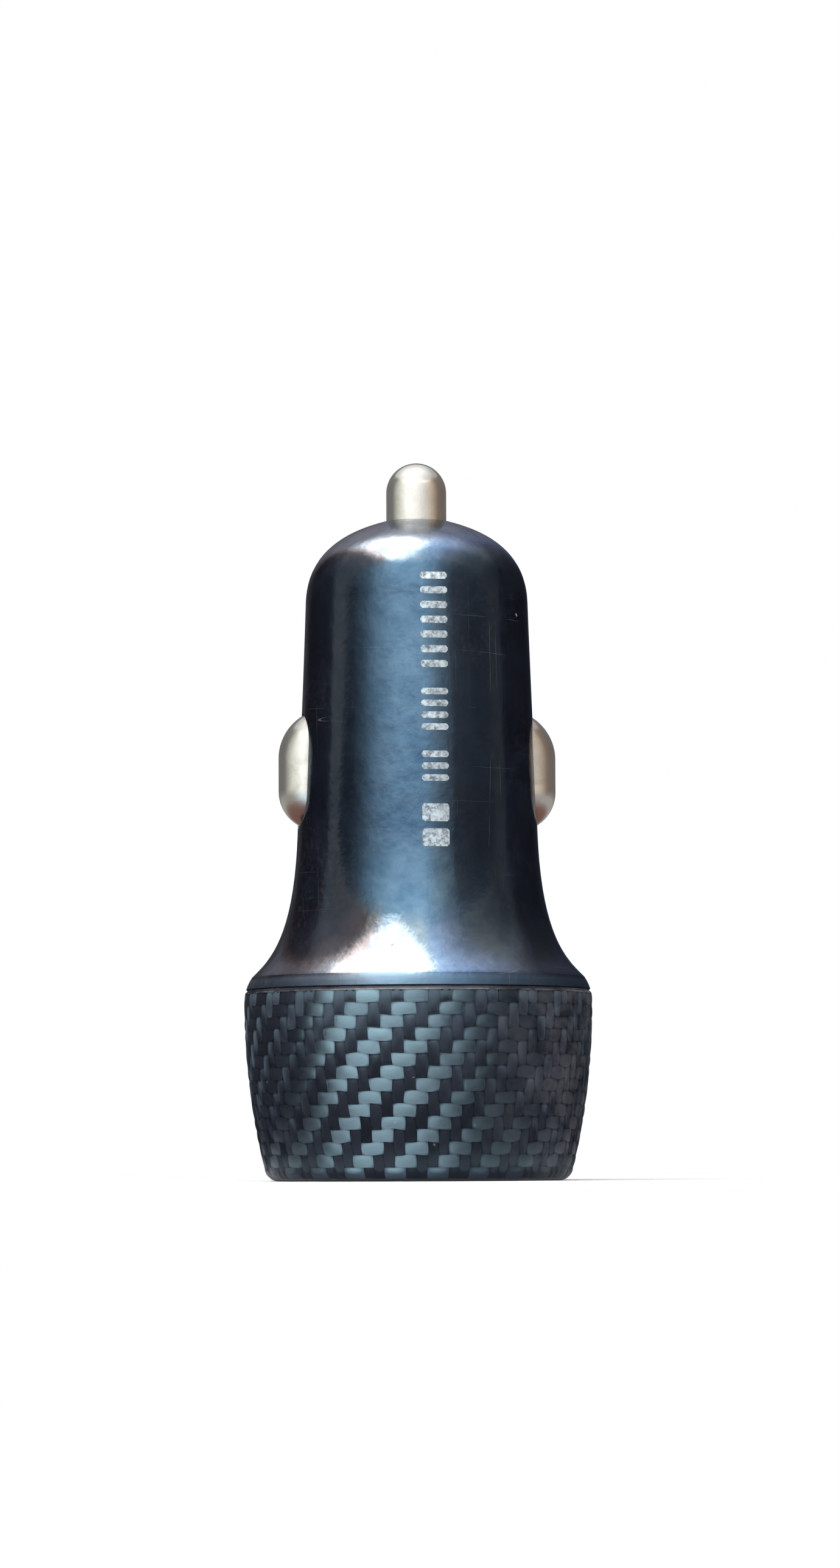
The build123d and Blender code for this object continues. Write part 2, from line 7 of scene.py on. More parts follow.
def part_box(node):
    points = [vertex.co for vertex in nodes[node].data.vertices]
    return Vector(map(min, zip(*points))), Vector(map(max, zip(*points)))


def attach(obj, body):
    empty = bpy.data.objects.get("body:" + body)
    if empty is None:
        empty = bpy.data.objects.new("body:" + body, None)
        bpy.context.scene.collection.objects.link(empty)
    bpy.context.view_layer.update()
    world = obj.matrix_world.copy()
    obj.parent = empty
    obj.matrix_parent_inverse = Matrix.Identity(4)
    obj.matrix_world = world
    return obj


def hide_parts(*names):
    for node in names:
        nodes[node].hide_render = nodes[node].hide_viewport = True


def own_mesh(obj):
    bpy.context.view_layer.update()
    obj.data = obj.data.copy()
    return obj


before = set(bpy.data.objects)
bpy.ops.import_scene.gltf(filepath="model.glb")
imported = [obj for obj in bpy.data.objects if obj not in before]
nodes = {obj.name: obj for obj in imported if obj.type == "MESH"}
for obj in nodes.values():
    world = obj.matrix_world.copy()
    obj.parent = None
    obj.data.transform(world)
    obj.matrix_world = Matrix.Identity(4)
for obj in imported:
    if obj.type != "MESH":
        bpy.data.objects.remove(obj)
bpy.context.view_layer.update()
scene = bpy.context.scene
mm = 0.001
print("frame loaded,", len(nodes), "nodes")

# Camera at the photograph's angle, lengths in mm and angles in degrees
cameraSetup = {
    "aimHeight": 33.9,
    "distance": 455.0,
    "azimuth": -7.0,
    "elevation": -4.0,
    "tilt": -3.26,
    "shift": 0.044,
    "tallAngle": 16.8,
    "roll": 0.24,
    "sidestep": 0.2,
    "filmWidth": 36.0,
    "clip": (10.0, 50000.0),
}


def fromCamera(azimuth, elevation=0.0):
    # unit vector from the plug, with azimuth counted to the right of the camera
    a = math.radians(cameraSetup["azimuth"] + azimuth)
    e = math.radians(elevation)
    return Vector((math.sin(a) * math.cos(e), -math.cos(a) * math.cos(e), math.sin(e)))


def makeCamera():
    s = cameraSetup
    back = fromCamera(0, s["elevation"])
    film = bpy.data.cameras.new("plugCamera")
    film.sensor_width = s["filmWidth"]
    film.lens = s["filmWidth"] / 2 / math.tan(math.radians(s["tallAngle"] / 2))
    film.shift_y = s["shift"]
    film.clip_start, film.clip_end = [c * mm for c in s["clip"]]
    camera = bpy.data.objects.new("plugCamera", film)
    scene.collection.objects.link(camera)
    turn = (-fromCamera(0, s["tilt"])).to_track_quat("-Z", "Y").to_matrix().to_4x4()
    turn = turn @ Matrix.Rotation(math.radians(-s["roll"]), 4, "Z")
    side = turn.to_3x3() @ Vector((1, 0, 0))
    place = Vector((0, 0, s["aimHeight"])) + back * s["distance"] + side * s["sidestep"]
    camera.matrix_world = Matrix.Translation(place * mm) @ turn
    scene.camera = camera


makeCamera()
print("camera set")


# Small helpers for node trees: a socket given as a value is linked, anything else is set
def put(tree, kind, values=None, **settings):
    node = tree.nodes.new(kind)
    for name, value in settings.items():
        setattr(node, name, value)
    for name, value in (values or {}).items():
        socket = node.inputs[name]
        if isinstance(value, bpy.types.NodeSocket):
            tree.links.new(value, socket)
        else:
            socket.default_value = value
    return node


def maths(tree, operation, a, b=0.5, clamp=False):
    return put(tree, "ShaderNodeMath", {0: a, 1: b}, operation=operation, use_clamp=clamp).outputs[0]


def times(tree, a, b):
    return maths(tree, "MULTIPLY", a, b)


def spread(tree, value, fromLow, fromHigh, toLow=0.0, toHigh=1.0):
    ends = {"Value": value, "From Min": fromLow, "From Max": fromHigh, "To Min": toLow, "To Max": toHigh}
    return put(tree, "ShaderNodeMapRange", ends).outputs[0]


def between(tree, share, low, high):
    return spread(tree, share, 0.0, 1.0, low, high)


def lengthOf(tree, vector):
    return put(tree, "ShaderNodeVectorMath", {0: vector}, operation="LENGTH").outputs["Value"]


def dotOf(tree, a, b):
    return put(tree, "ShaderNodeVectorMath", {0: a, 1: b}, operation="DOT_PRODUCT").outputs["Value"]


def axesOf(tree, vector):
    return put(tree, "ShaderNodeSeparateXYZ", {0: vector}).outputs


def mixTint(tree, share, a, b, blend="MIX"):
    a = a if isinstance(a, bpy.types.NodeSocket) else (*a, 1)
    b = b if isinstance(b, bpy.types.NodeSocket) else (*b, 1)
    values = {0: share, 6: a, 7: b}
    return put(tree, "ShaderNodeMix", values, data_type="RGBA", blend_type=blend).outputs[2]


def noiseAt(tree, where, scale, detail=3.0, rough=0.55, swirl=0.0):
    values = {"Vector": where, "Scale": scale, "Detail": detail, "Roughness": rough, "Distortion": swirl}
    return put(tree, "ShaderNodeTexNoise", values).outputs["Fac"]


def objectPlace(tree):
    return put(tree, "ShaderNodeTexCoord").outputs["Object"]


def newGroup(name, inputs, outputs):
    group = bpy.data.node_groups.new(name, "ShaderNodeTree")
    for label, value in inputs.items():
        kind = "NodeSocketVector" if isinstance(value, tuple) else "NodeSocketFloat"
        group.interface.new_socket(name=label, in_out="INPUT", socket_type=kind).default_value = value
    for label in outputs:
        group.interface.new_socket(name=label, in_out="OUTPUT", socket_type="NodeSocketFloat")
    return group, group.nodes.new("NodeGroupInput"), group.nodes.new("NodeGroupOutput")


def effect(tree, group, values):
    return put(tree, "ShaderNodeGroup", values, node_tree=group).outputs


# Finger haze, dust and hairline scratches of a part that has been used, scales per metre
marksLook = {
    "haze": (0.4, 0.68),
    "raggedScale": 2200.0, "ragged": 0.0005,  # uneven outline of the specks
    "speckScale": 610.0, "speckReach": (0.02, 0.10),
    "patchScale": 75.0, "patch": (0.46, 0.66),
    "powderScale": 2400.0, "powder": (0.5, 0.72),
    "scratches": (((0.3, 0.5, 0.2), (14, 14, 620)), ((1.2, 0.1, 0.9), (620, 16, 16))),  # turn and stretch
    "scratchWidth": (0.0022, 0.0006),
    "wornScale": 160.0, "worn": (0.55, 0.66),
}


def makeHandMarks():
    s = marksLook
    inputs = {"Haze Scale": 170.0, "Dust": 0.3, "Hairlines": 0.3}
    group, given, out = newGroup("handMarks", inputs, ("Haze", "Dust", "Hairline"))
    where = objectPlace(group)
    haze = spread(group, noiseAt(group, where, given.outputs["Haze Scale"], 6.0, 0.62, 0.7), *s["haze"])
    cloud = put(group, "ShaderNodeTexNoise", {"Vector": where, "Scale": s["raggedScale"], "Detail": 2.0})
    aside = {0: cloud.outputs["Color"], "Scale": s["ragged"]}
    aside = put(group, "ShaderNodeVectorMath", aside, operation="SCALE").outputs[0]
    shifted = put(group, "ShaderNodeVectorMath", {0: where, 1: aside}, operation="ADD").outputs[0]
    cells = put(group, "ShaderNodeTexVoronoi", {"Vector": shifted, "Scale": s["speckScale"]})
    pick = put(group, "ShaderNodeSeparateColor", {0: cells.outputs["Color"]})
    kept = maths(group, "GREATER_THAN", pick.outputs[0], maths(group, "SUBTRACT", 1.0, given.outputs["Dust"]))
    reach = between(group, pick.outputs[1], *s["speckReach"])
    speck = maths(group, "LESS_THAN", cells.outputs["Distance"], reach)
    patch = spread(group, noiseAt(group, where, s["patchScale"], 4.0, 0.6), *s["patch"])
    powder = spread(group, noiseAt(group, where, s["powderScale"], 4.0, 0.7), *s["powder"])
    film = times(group, times(group, patch, powder), given.outputs["Dust"])
    dust = maths(group, "MAXIMUM", times(group, speck, kept), film)
    lines = 0.0
    for turn, stretch in s["scratches"]:
        slant = put(group, "ShaderNodeMapping", {"Vector": where, "Rotation": turn, "Scale": stretch})
        level = noiseAt(group, slant.outputs[0], 1.0, 0.0)
        near = maths(group, "ABSOLUTE", maths(group, "SUBTRACT", level, 0.5))
        lines = maths(group, "MAXIMUM", spread(group, near, *s["scratchWidth"]), lines)
    worn = spread(group, noiseAt(group, where, s["wornScale"], 2.0), *s["worn"])
    lines = times(group, times(group, lines, worn), given.outputs["Hairlines"])
    for label, socket in (("Haze", haze), ("Dust", dust), ("Hairline", lines)):
        group.links.new(socket, out.inputs[label])
    return group


# Spark-eroded texture of moulded plastic, also the orange peel of a lacquer at a low scale
grainLook = {"broadScale": 0.13, "broadShare": 0.5, "tone": (0.35, 0.65)}


def makeMouldGrain():
    s = grainLook
    group, given, out = newGroup("mouldGrain", {"Scale": 3000.0}, ("Height", "Tone"))
    where = objectPlace(group)
    fine = noiseAt(group, where, given.outputs["Scale"], 2.0, 0.5)
    broad = noiseAt(group, where, times(group, given.outputs["Scale"], s["broadScale"]), 4.0, 0.6)
    group.links.new(maths(group, "ADD", fine, times(group, broad, s["broadShare"])), out.inputs["Height"])
    group.links.new(spread(group, broad, *s["tone"]), out.inputs["Tone"])
    return group


# Bright or dusty line along edges, broken up by noise: wear on metals and plastics, a painted highlight on
# the sleeve's plain rim and seam
edgeLook = {"turn": (0.985, 0.88), "gaps": (0.38, 0.62)}


def makeEdgeWearAndHighlight():
    s = edgeLook
    group, given, out = newGroup("edgeWearAndHighlight", {"Reach": 0.0002, "Breaks": 500.0}, ("Edge",))
    rounded = put(group, "ShaderNodeBevel", {"Radius": given.outputs["Reach"]}, samples=4).outputs[0]
    plain = put(group, "ShaderNodeNewGeometry").outputs["Normal"]
    edge = spread(group, dotOf(group, rounded, plain), *s["turn"])
    gaps = spread(group, noiseAt(group, objectPlace(group), given.outputs["Breaks"], 4.0, 0.65), *s["gaps"])
    group.links.new(times(group, edge, gaps), out.inputs["Edge"])
    return group


# Painted shade where pieces meet: ambient occlusion darkens the gaps, broken up by noise
gapShadeLook = {"shut": (0.92, 0.5), "ragged": (0.3, 0.7, 0.6, 1.0)}


def makeGapShade():
    s = gapShadeLook
    group, given, out = newGroup("gapShade", {"Reach": 0.001, "Breaks": 500.0}, ("Grime",))
    around = put(group, "ShaderNodeAmbientOcclusion", {"Distance": given.outputs["Reach"]}, samples=6)
    breaks = noiseAt(group, objectPlace(group), given.outputs["Breaks"], 4.0, 0.6)
    shut = spread(group, around.outputs["AO"], *s["shut"])
    group.links.new(times(group, shut, spread(group, breaks, *s["ragged"])), out.inputs["Grime"])
    return group


def makeTowStreak():
    # fine filaments along a tow, drawn in the weave's own coordinates
    group, given, out = newGroup("towStreak", {"Along": (1.0, 1.0, 1.0)}, ("Streak", "Height"))
    where = put(group, "ShaderNodeUVMap", uv_map="weave").outputs[0]
    run = put(group, "ShaderNodeMapping", {"Vector": where, "Scale": given.outputs["Along"]}).outputs[0]
    threads = noiseAt(group, run, 1.0, 5.0, 0.7)
    group.links.new(spread(group, threads, 0.3, 0.7), out.inputs["Streak"])
    group.links.new(threads, out.inputs["Height"])
    return group


handMarks = makeHandMarks()
mouldGrain = makeMouldGrain()
edgeWearAndHighlight = makeEdgeWearAndHighlight()
gapShade = makeGapShade()
towStreak = makeTowStreak()
print("shared effects built")


def newFinish(name, **sockets):
    # a material with its shader's constant sockets set; returns it with its tree and shader
    finish = bpy.data.materials.new(name)
    finish.use_nodes = True
    shader = finish.node_tree.nodes["Principled BSDF"]
    for label, value in sockets.items():
        shader.inputs[label.replace("_", " ")].default_value = value
    return finish, finish.node_tree, shader


def feed(tree, shader, **sockets):
    for label, socket in sockets.items():
        tree.links.new(socket, shader.inputs[label.replace("_", " ")])


def bumpFrom(tree, height, distance, under=None):
    values = {"Height": height, "Distance": distance}
    if under is not None:
        values["Normal"] = under
    return put(tree, "ShaderNodeBump", values).outputs[0]


def newPiece(name, points, faces, finishes, smooth=True):
    # a mesh from points in mm, linked to the scene
    mesh = bpy.data.meshes.new(name)
    mesh.from_pydata([tuple(c * mm for c in p) for p in points], [], faces)
    mesh.polygons.foreach_set("use_smooth", [smooth] * len(faces))
    for finish in finishes:
        mesh.materials.append(finish)
    piece = bpy.data.objects.new(name, mesh)
    scene.collection.objects.link(piece)
    return piece


# Lacquered black of the barrel, lengths in metres
barrelLook = {
    # black: its navy cast paints a blue light into the lacquer
    "black": (0.0042, 0.0052, 0.0090),
    "haze": (0.0105, 0.0135, 0.0205), "hazeShare": 0.6,
    "dust": (0.30, 0.29, 0.28), "dustShare": 0.8, "dustRough": 0.5,
    "marks": {"Haze Scale": 190.0, "Dust": 0.08, "Hairlines": 0.25},
    "roughness": (0.06, 0.18),
    "lip": (0.0176, 0.0170), "lipRough": 0.42,  # rubbed dull above the seam
    "nose": (0.0490, 0.0535), "noseRough": 0.13, "noseCoat": 0.2,  # scuffed by the socket
    "shoulder": 0.0535, "shoulderReach": 0.0022, "shoulderRise": 0.0006,  # fuller round the nose
    "unevenScale": 620.0, "uneven": 0.00005,
    "grainScale": 1500.0, "grain": 0.000012,
    "mottleScale": 520.0, "mottle": (0.34, 0.66), "mottleShare": 0.65,
    "coat": (0.95, 0.05),
}


def makeGlossBlack():
    s = barrelLook
    # painted reflection: the blue Specular Tint paints a blue sky light into the lacquer's reflections
    finish, tree, shader = newFinish(
        "glossBlack", IOR=1.75, Specular_Tint=(0.40, 0.70, 1.0, 1.0), Coat_IOR=1.6, Coat_Roughness=0.07)
    where = objectPlace(tree)
    height = axesOf(tree, where)[2]
    marks = effect(tree, handMarks, s["marks"])
    grain = effect(tree, mouldGrain, {"Scale": s["grainScale"]})
    tint = mixTint(tree, times(tree, marks["Haze"], s["hazeShare"]), s["black"], s["haze"])
    tint = mixTint(tree, marks["Hairline"], tint, s["dust"])
    tint = mixTint(tree, times(tree, marks["Dust"], s["dustShare"]), tint, s["dust"])
    lip = spread(tree, height, *s["lip"])
    scuff = spread(tree, height, *s["nose"])
    rough = between(tree, marks["Haze"], *s["roughness"])
    rough = maths(tree, "ADD", rough, times(tree, marks["Dust"], s["dustRough"]), True)
    rough = maths(tree, "MAXIMUM", rough, times(tree, lip, s["lipRough"]))
    rough = maths(tree, "ADD", rough, times(tree, scuff, s["noseRough"]))
    mottle = spread(tree, noiseAt(tree, where, s["mottleScale"], 8.0, 0.68, 0.4), *s["mottle"])
    mottle = times(tree, mottle, s["mottleShare"])
    mottle = maths(tree, "ADD", mottle, times(tree, marks["Haze"], 1 - s["mottleShare"]))
    coat = between(tree, mottle, *s["coat"])
    coat = maths(tree, "SUBTRACT", coat, times(tree, scuff, s["noseCoat"]))
    coat = maths(tree, "SUBTRACT", coat, maths(tree, "ADD", marks["Dust"], lip), True)
    apart = maths(tree, "DIVIDE", maths(tree, "SUBTRACT", height, s["shoulder"]), s["shoulderReach"])
    hill = maths(tree, "EXPONENT", times(tree, times(tree, apart, apart), -1.0))
    fuller = bumpFrom(tree, hill, s["shoulderRise"])
    normal = bumpFrom(tree, noiseAt(tree, where, s["unevenScale"], 3.0, 0.5), s["uneven"], fuller)
    normal = bumpFrom(tree, grain["Height"], s["grain"], normal)
    feed(tree, shader, Base_Color=tint, Roughness=rough, Coat_Weight=coat, Normal=normal, Coat_Normal=fuller)
    return finish


# Twill sleeve around the head, lengths in mm and angles in degrees
sleeveLook = {
    "radius": 14.878, "widest": 15.2, "sideBow": 60.0,
    "shoulder": 3.8, "seam": 16.2, "seamRadius": 14.746, "groove": 0.16, "grooveSlope": 1.31,
    "rimRound": 1.2, "rimSweep": 32.0, "rimSteps": 4,
    "bore": 12.178, "lip": 11.078, "lipTop": 1.6,
    "topBore": 13.046, "boreStep": 12.1, "topSteps": 5,
    "beadCrown": 13.296, "beadEnds": (14.708, 14.5, 13.9, 13.692),
    "sharpEdge": 40.0,
    "tows": 92, "rows": 14, "steps": 6,
    "relief": 0.06, "weaveLow": 1.15, "weaveHigh": 15.9,
    "crown": 2.4, "floatEnds": 0.25,  # how round a tow is, and how high its float is at the ends
    "roundness": 3.4, "outline": (0.78, 1.7), "outlineShadeCoat": 0.85,  # shape of a float, and painted shade towards its outline through a dark coat
    "rimShade": 3.0,  # painted shade, darker where the rim turns under
    "wander": 0.045,  # how far the tows stray, as a share of one
    "asideWaves": ((1.0, 23, 1.9, 0.0), (0.7, 37, -2.7, 1.0)),  # share, waves around, climb, start
    "riseWaves": ((1.0, 29, -1.1, 0.5), (0.7, 41, 2.3, 0.0)),
    "toneSeed": 7,
}


def sleeveRadius(z):
    s = sleeveLook
    if z > s["widest"]:
        return s["radius"] - s["shoulder"] + math.sqrt(s["shoulder"] ** 2 - (z - s["widest"]) ** 2)
    return s["radius"] - s["sideBow"] + math.sqrt(s["sideBow"] ** 2 - (s["widest"] - z) ** 2)


def twillCell(u, v):
    # which tow is on top, and where the point lies along and across its float
    i, j = math.floor(u), math.floor(v)
    k = (i - j) % 4
    if k < 2:
        return True, (k + u - i) / 2, v - j
    return False, (3 - k + v - j) / 2, u - i


def twillHeight(u, v):
    # lowest of the floats that meet at the point
    s = sleeveLook
    nudges = (-1e-6, 1e-6)
    lowest = 1.0
    for du in nudges:
        for dv in nudges:
            _, along, across = twillCell(u + du, v + dv)
            crown = 1 - abs(2 * across - 1) ** s["crown"]
            arch = math.sin(math.pi * min(max(along, 0), 1))
            lowest = min(lowest, crown * (s["floatEnds"] + (1 - s["floatEnds"]) * arch))
    return lowest


def towWander(u, v):
    # gentle straying of the tows aside and up, none at the weave's ends
    s = sleeveLook
    turn = 2 * math.pi * u / s["tows"]
    hold = max(0.0, min(1.0, v, (s["rows"] - v) / 2)) * s["wander"]
    return [
        hold * sum(share * math.sin(count * turn + climb * v + start) for share, count, climb, start in waves)
        for waves in (s["asideWaves"], s["riseWaves"])
    ]


def floatOutlineShade(u, v, weftUp, along):
    # how far each corner of a quad lies out from the middle of its float, 1 at the outline, plus the rim's
    # painted shade; it masks the painted shade at the outlines
    s = sleeveLook
    step = 1 / s["steps"]
    half = int(along * 2)
    shape = []
    for du, dv in ((0, 0), (step, 0), (step, step), (0, step)):
        x, y = u + du - math.floor(u + step / 2), v + dv - math.floor(v + step / 2)
        a, c = ((half + x) / 2, y) if weftUp else ((half + y) / 2, x)
        under = s["rimShade"] * max(0.0, -(v + dv))
        shape.append(abs(2 * a - 1) ** s["roundness"] + abs(2 * c - 1) ** s["roundness"] + under)
    return shape


def sleeveProfile():
    # outside from the foot of the rim up to the seam, then down the bore; each point is radius, height, row
    s = sleeveLook
    r = s["rimRound"]
    centre = s["radius"] - s["sideBow"] + math.sqrt((s["sideBow"] - r) ** 2 - (s["widest"] - r) ** 2)
    lean = math.asin((s["widest"] - r) / (s["sideBow"] - r))
    points = []
    for n in range(s["rimSteps"] + 1):
        a = -math.pi / 2 + math.radians(s["rimSweep"]) * n / s["rimSteps"]
        points.append((centre + r * math.cos(a), r + r * math.sin(a), None))
    count = s["rows"] * s["steps"]
    pace = (s["weaveHigh"] - s["weaveLow"]) / count
    side = (s["weaveLow"] - r * (1 - math.sin(lean))) / math.cos(lean)  # side below the first whole row
    for n in range(s["steps"], 0, -1):
        if n * pace < side:
            z = s["weaveLow"] - n * pace * math.cos(lean)
            points.append((sleeveRadius(z), z, -n / s["steps"]))
        else:
            a = -lean - (n * pace - side) / r
            points.append((centre + r * math.cos(a), r + r * math.sin(a), -n / s["steps"]))
    for n in range(count + 1):
        z = s["weaveLow"] + pace * n
        points.append((sleeveRadius(z), z, n / s["steps"]))
    notch = s["seam"] - s["groove"] * s["grooveSlope"]
    for n in range(1, s["topSteps"] + 1):
        z = s["weaveHigh"] + (notch - s["weaveHigh"]) * n / s["topSteps"]
        points.append((sleeveRadius(z), z, None))
    up, high, low, down = s["beadEnds"]
    inside = [
        (s["seamRadius"] - s["groove"], s["seam"]), (s["topBore"], s["seam"]),
        (s["topBore"], up), (s["beadCrown"], high), (s["beadCrown"], low), (s["topBore"], down),
        (s["topBore"], s["boreStep"]), (s["bore"], s["boreStep"]),
        (s["bore"], s["lipTop"]), (s["lip"], s["lipTop"]), (s["lip"], 0),
    ]
    return points + [(radius, z, None) for radius, z in inside]


def sleevePoints(profile, around):
    s = sleeveLook
    points = []
    for radius, z, row in profile:
        for n in range(around):
            depth, aside, rise = 0.0, 0.0, 0.0
            if row is not None:
                depth = s["relief"] * (1 - twillHeight(n / s["steps"], row))
                aside, rise = towWander(n / s["steps"], row)
            a = 2 * math.pi * (n + aside * s["steps"]) / around
            points.append(((radius - depth) * math.sin(a), -(radius - depth) * math.cos(a), z + rise))
    return points


def makeSleeve(finishes):
    s = sleeveLook
    around = s["tows"] * s["steps"]
    step = 1 / s["steps"]
    profile = sleeveProfile()
    quads, slots, tones, outlineShades, uvs = [], [], [], [], []
    pick = random.Random(s["toneSeed"])
    floatTone = {}
    for ring in range(len(profile)):
        nextRing = (ring + 1) % len(profile)
        row, upper = profile[ring][2], profile[nextRing][2]
        woven = row is not None and upper is not None
        v, vUp = (row, upper) if woven else (0.0, 0.0)
        for n in range(around):
            m = (n + 1) % around
            quads.append((ring * around + n, ring * around + m, nextRing * around + m, nextRing * around + n))
            u = n / s["steps"]
            uvs += [u, v, u + step, v, u + step, vUp, u, vUp]
            if not woven:
                slots.append(2)
                tones.append(0.5)
                outlineShades += [0.0] * 4
                continue
            weftUp, along, _ = twillCell(u + step / 2, v + step / 2)
            i, j = math.floor(u), math.floor(v)
            start = (i - int(along * 2), j) if weftUp else (i, j - int(along * 2))
            slots.append(0 if weftUp else 1)
            tones.append(floatTone.setdefault((weftUp, start), pick.random()))
            outlineShades += floatOutlineShade(u, v, weftUp, along)
    sleeve = newPiece("twillSleeve", sleevePoints(profile, around), quads, finishes)
    mesh = sleeve.data
    mesh.polygons.foreach_set("material_index", slots)
    mesh.uv_layers.new(name="weave").data.foreach_set("uv", uvs)
    mesh.attributes.new("towTone", "FLOAT", "FACE").data.foreach_set("value", tones)
    mesh.attributes.new("towShape", "FLOAT", "CORNER").data.foreach_set("value", outlineShades)
    mesh.set_sharp_from_angle(angle=math.radians(s["sharpEdge"]))
    mesh.update()
    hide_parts("head_sleeve")
    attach(sleeve, "charger")


# The sleeve's finishes: tows around and along the plug, and the plain rim and seam
towLook = {
    "towWeft": {
        "tint": (0.015, 0.0155, 0.024), "along": (0.8, 16.0, 1.0),
        "turn": 0.25, "roughness": 0.43, "level": 0.72,
    },
    "towWarp": {
        "tint": (0.014, 0.0145, 0.023), "along": (16.0, 0.8, 1.0),
        "turn": 0.0, "roughness": 0.46, "level": 0.2,
    },
    "marks": {"Haze Scale": 230.0, "Dust": 0.16, "Hairlines": 0.2},
    "streakTone": (0.7, 1.2), "floatTone": (0.7, 1.25),
    "streakRough": (-0.05, 0.06), "floatRough": 0.07, "hazeRough": 0.1,
    "hazeOutline": 0.35,
    "threadDepth": 0.00001,
    "dust": (0.19, 0.18, 0.20), "dustShare": 0.42,
    "dustLean": (0.003, 0.014), "dustScale": 320.0, "dustCloud": (0.40, 0.68),
}
plainLook = {
    "tint": (0.008, 0.008, 0.012), "hazeTone": 1.8,
    "marks": {"Haze Scale": 230.0, "Dust": 0.2, "Hairlines": 0.3},
    # edge and its share: painted highlight, a bright bluish line along the plain rim and seam edges, standing
    # in for the light they catch
    "edge": (0.36, 0.38, 0.41), "edgeHighlightShare": 0.8, "dustShare": 0.3,
    "roughness": (0.3, 0.48),
    "grainScale": 2600.0, "grain": 0.00001,
}


def sideDust(tree, marks):
    # more dust towards the plug's right-hand side, which is handled least
    s = towLook
    lean = spread(tree, axesOf(tree, objectPlace(tree))[0], *s["dustLean"])
    cloud = spread(tree, noiseAt(tree, objectPlace(tree), s["dustScale"], 6.0, 0.7, 0.5), *s["dustCloud"])
    return maths(tree, "MAXIMUM", marks["Dust"], times(tree, lean, cloud))


def makeTow(name):
    s, tow = towLook, towLook[name]
    # painted reflection: the teal Specular Tint paints a cool cast of light into the tows' sheen
    finish, tree, shader = newFinish(
        name, IOR=1.8, Specular_IOR_Level=tow["level"], Specular_Tint=(0.54, 0.86, 1.0, 1.0),
        Anisotropic=0.95, Anisotropic_Rotation=tow["turn"],
        Coat_IOR=1.15, Coat_Roughness=0.3, Coat_Tint=(0.30, 0.32, 0.40, 1.0))
    tangent = put(tree, "ShaderNodeTangent", direction_type="UV_MAP", uv_map="weave").outputs[0]
    threads = effect(tree, towStreak, {"Along": tow["along"]})
    marks = effect(tree, handMarks, s["marks"])
    tone = put(tree, "ShaderNodeAttribute", attribute_name="towTone").outputs["Fac"]
    shape = put(tree, "ShaderNodeAttribute", attribute_name="towShape").outputs["Fac"]
    shade = between(tree, threads["Streak"], *s["streakTone"])
    shade = times(tree, shade, between(tree, tone, *s["floatTone"]))
    base = mixTint(tree, shade, (0, 0, 0), tow["tint"])
    base = mixTint(tree, times(tree, sideDust(tree, marks), s["dustShare"]), base, s["dust"])
    # painted shade: a dark-tinted coat darkens each float towards its outline, over hazy patches and on the
    # rim where it turns under, standing in for the tows curving away from the light
    shape = maths(tree, "ADD", shape, between(tree, marks["Haze"], 0.0, s["hazeOutline"]))
    coat = spread(tree, shape, *sleeveLook["outline"], 0.0, sleeveLook["outlineShadeCoat"])
    rough = between(tree, tone, tow["roughness"] - s["floatRough"], tow["roughness"] + s["floatRough"])
    rough = maths(tree, "ADD", between(tree, threads["Streak"], *s["streakRough"]), rough)
    rough = maths(tree, "ADD", rough, times(tree, marks["Haze"], s["hazeRough"]), True)
    feed(tree, shader, Base_Color=base, Roughness=rough, Coat_Weight=coat, Tangent=tangent)
    feed(tree, shader, Normal=bumpFrom(tree, threads["Height"], s["threadDepth"]))
    return finish


def makeSleevePlain():
    s = plainLook
    finish, tree, shader = newFinish("satinBlack", IOR=1.4, Coat_Weight=0.1, Coat_Roughness=0.25)
    marks = effect(tree, handMarks, s["marks"])
    grain = effect(tree, mouldGrain, {"Scale": s["grainScale"]})
    edge = effect(tree, edgeWearAndHighlight, {"Reach": 0.00025, "Breaks": 420.0})["Edge"]
    base = mixTint(tree, marks["Haze"], s["tint"], tuple(s["hazeTone"] * c for c in s["tint"]))
    # painted highlight along the rim and seam edges
    base = mixTint(tree, times(tree, edge, s["edgeHighlightShare"]), base, s["edge"])
    base = mixTint(tree, times(tree, sideDust(tree, marks), s["dustShare"]), base, towLook["dust"])
    feed(tree, shader, Base_Color=base, Roughness=between(tree, marks["Haze"], *s["roughness"]))
    feed(tree, shader, Normal=bumpFrom(tree, grain["Height"], s["grain"]))
    return finish


makeSleeve([makeTow("towWeft"), makeTow("towWarp"), makeSleevePlain()])
print("twill sleeve built")

# Printed bars on the barrel, a plain gauge in mm; a run is a count, a pitch and a bar's height
printLook = {
    "azimuth": 8.7,
    "width": 2.3,
    "start": 28.0,
    "runs": ((2, 2.1, 1.5), (3, 1.0, 0.55), (4, 1.0, 0.55), (7, 1.25, 0.6)),
    "runGap": 1.3,
    "proud": 0.012,
    "corner": 0.18,
    "columns": 14, "rows": 4,
    "marks": {"Haze Scale": 420.0, "Dust": 0.1, "Hairlines": 0.6},
    "flakeScale": 2600.0, "flakes": (0.36, 0.6),
    "ink": (0.42, 0.46, 0.47),
    "worn": (0.05, 0.06, 0.075), "wornShare": 0.35,
    "roughness": (0.6, 0.34), "metallic": (0.0, 0.35),
}

# Barrel's outside in mm, as points and handles from the flare's foot to the tip hole
barrelOutline = {
    "flare": ((14.212, 17.352), (12.880, 18.708), (10.626, 20.459), (10.280, 29.552)),
    "nose": ((9.520, 49.552), (9.360, 53.749), (6.307, 55.521), (2.830, 56.452)),
    "halvings": 40,
}


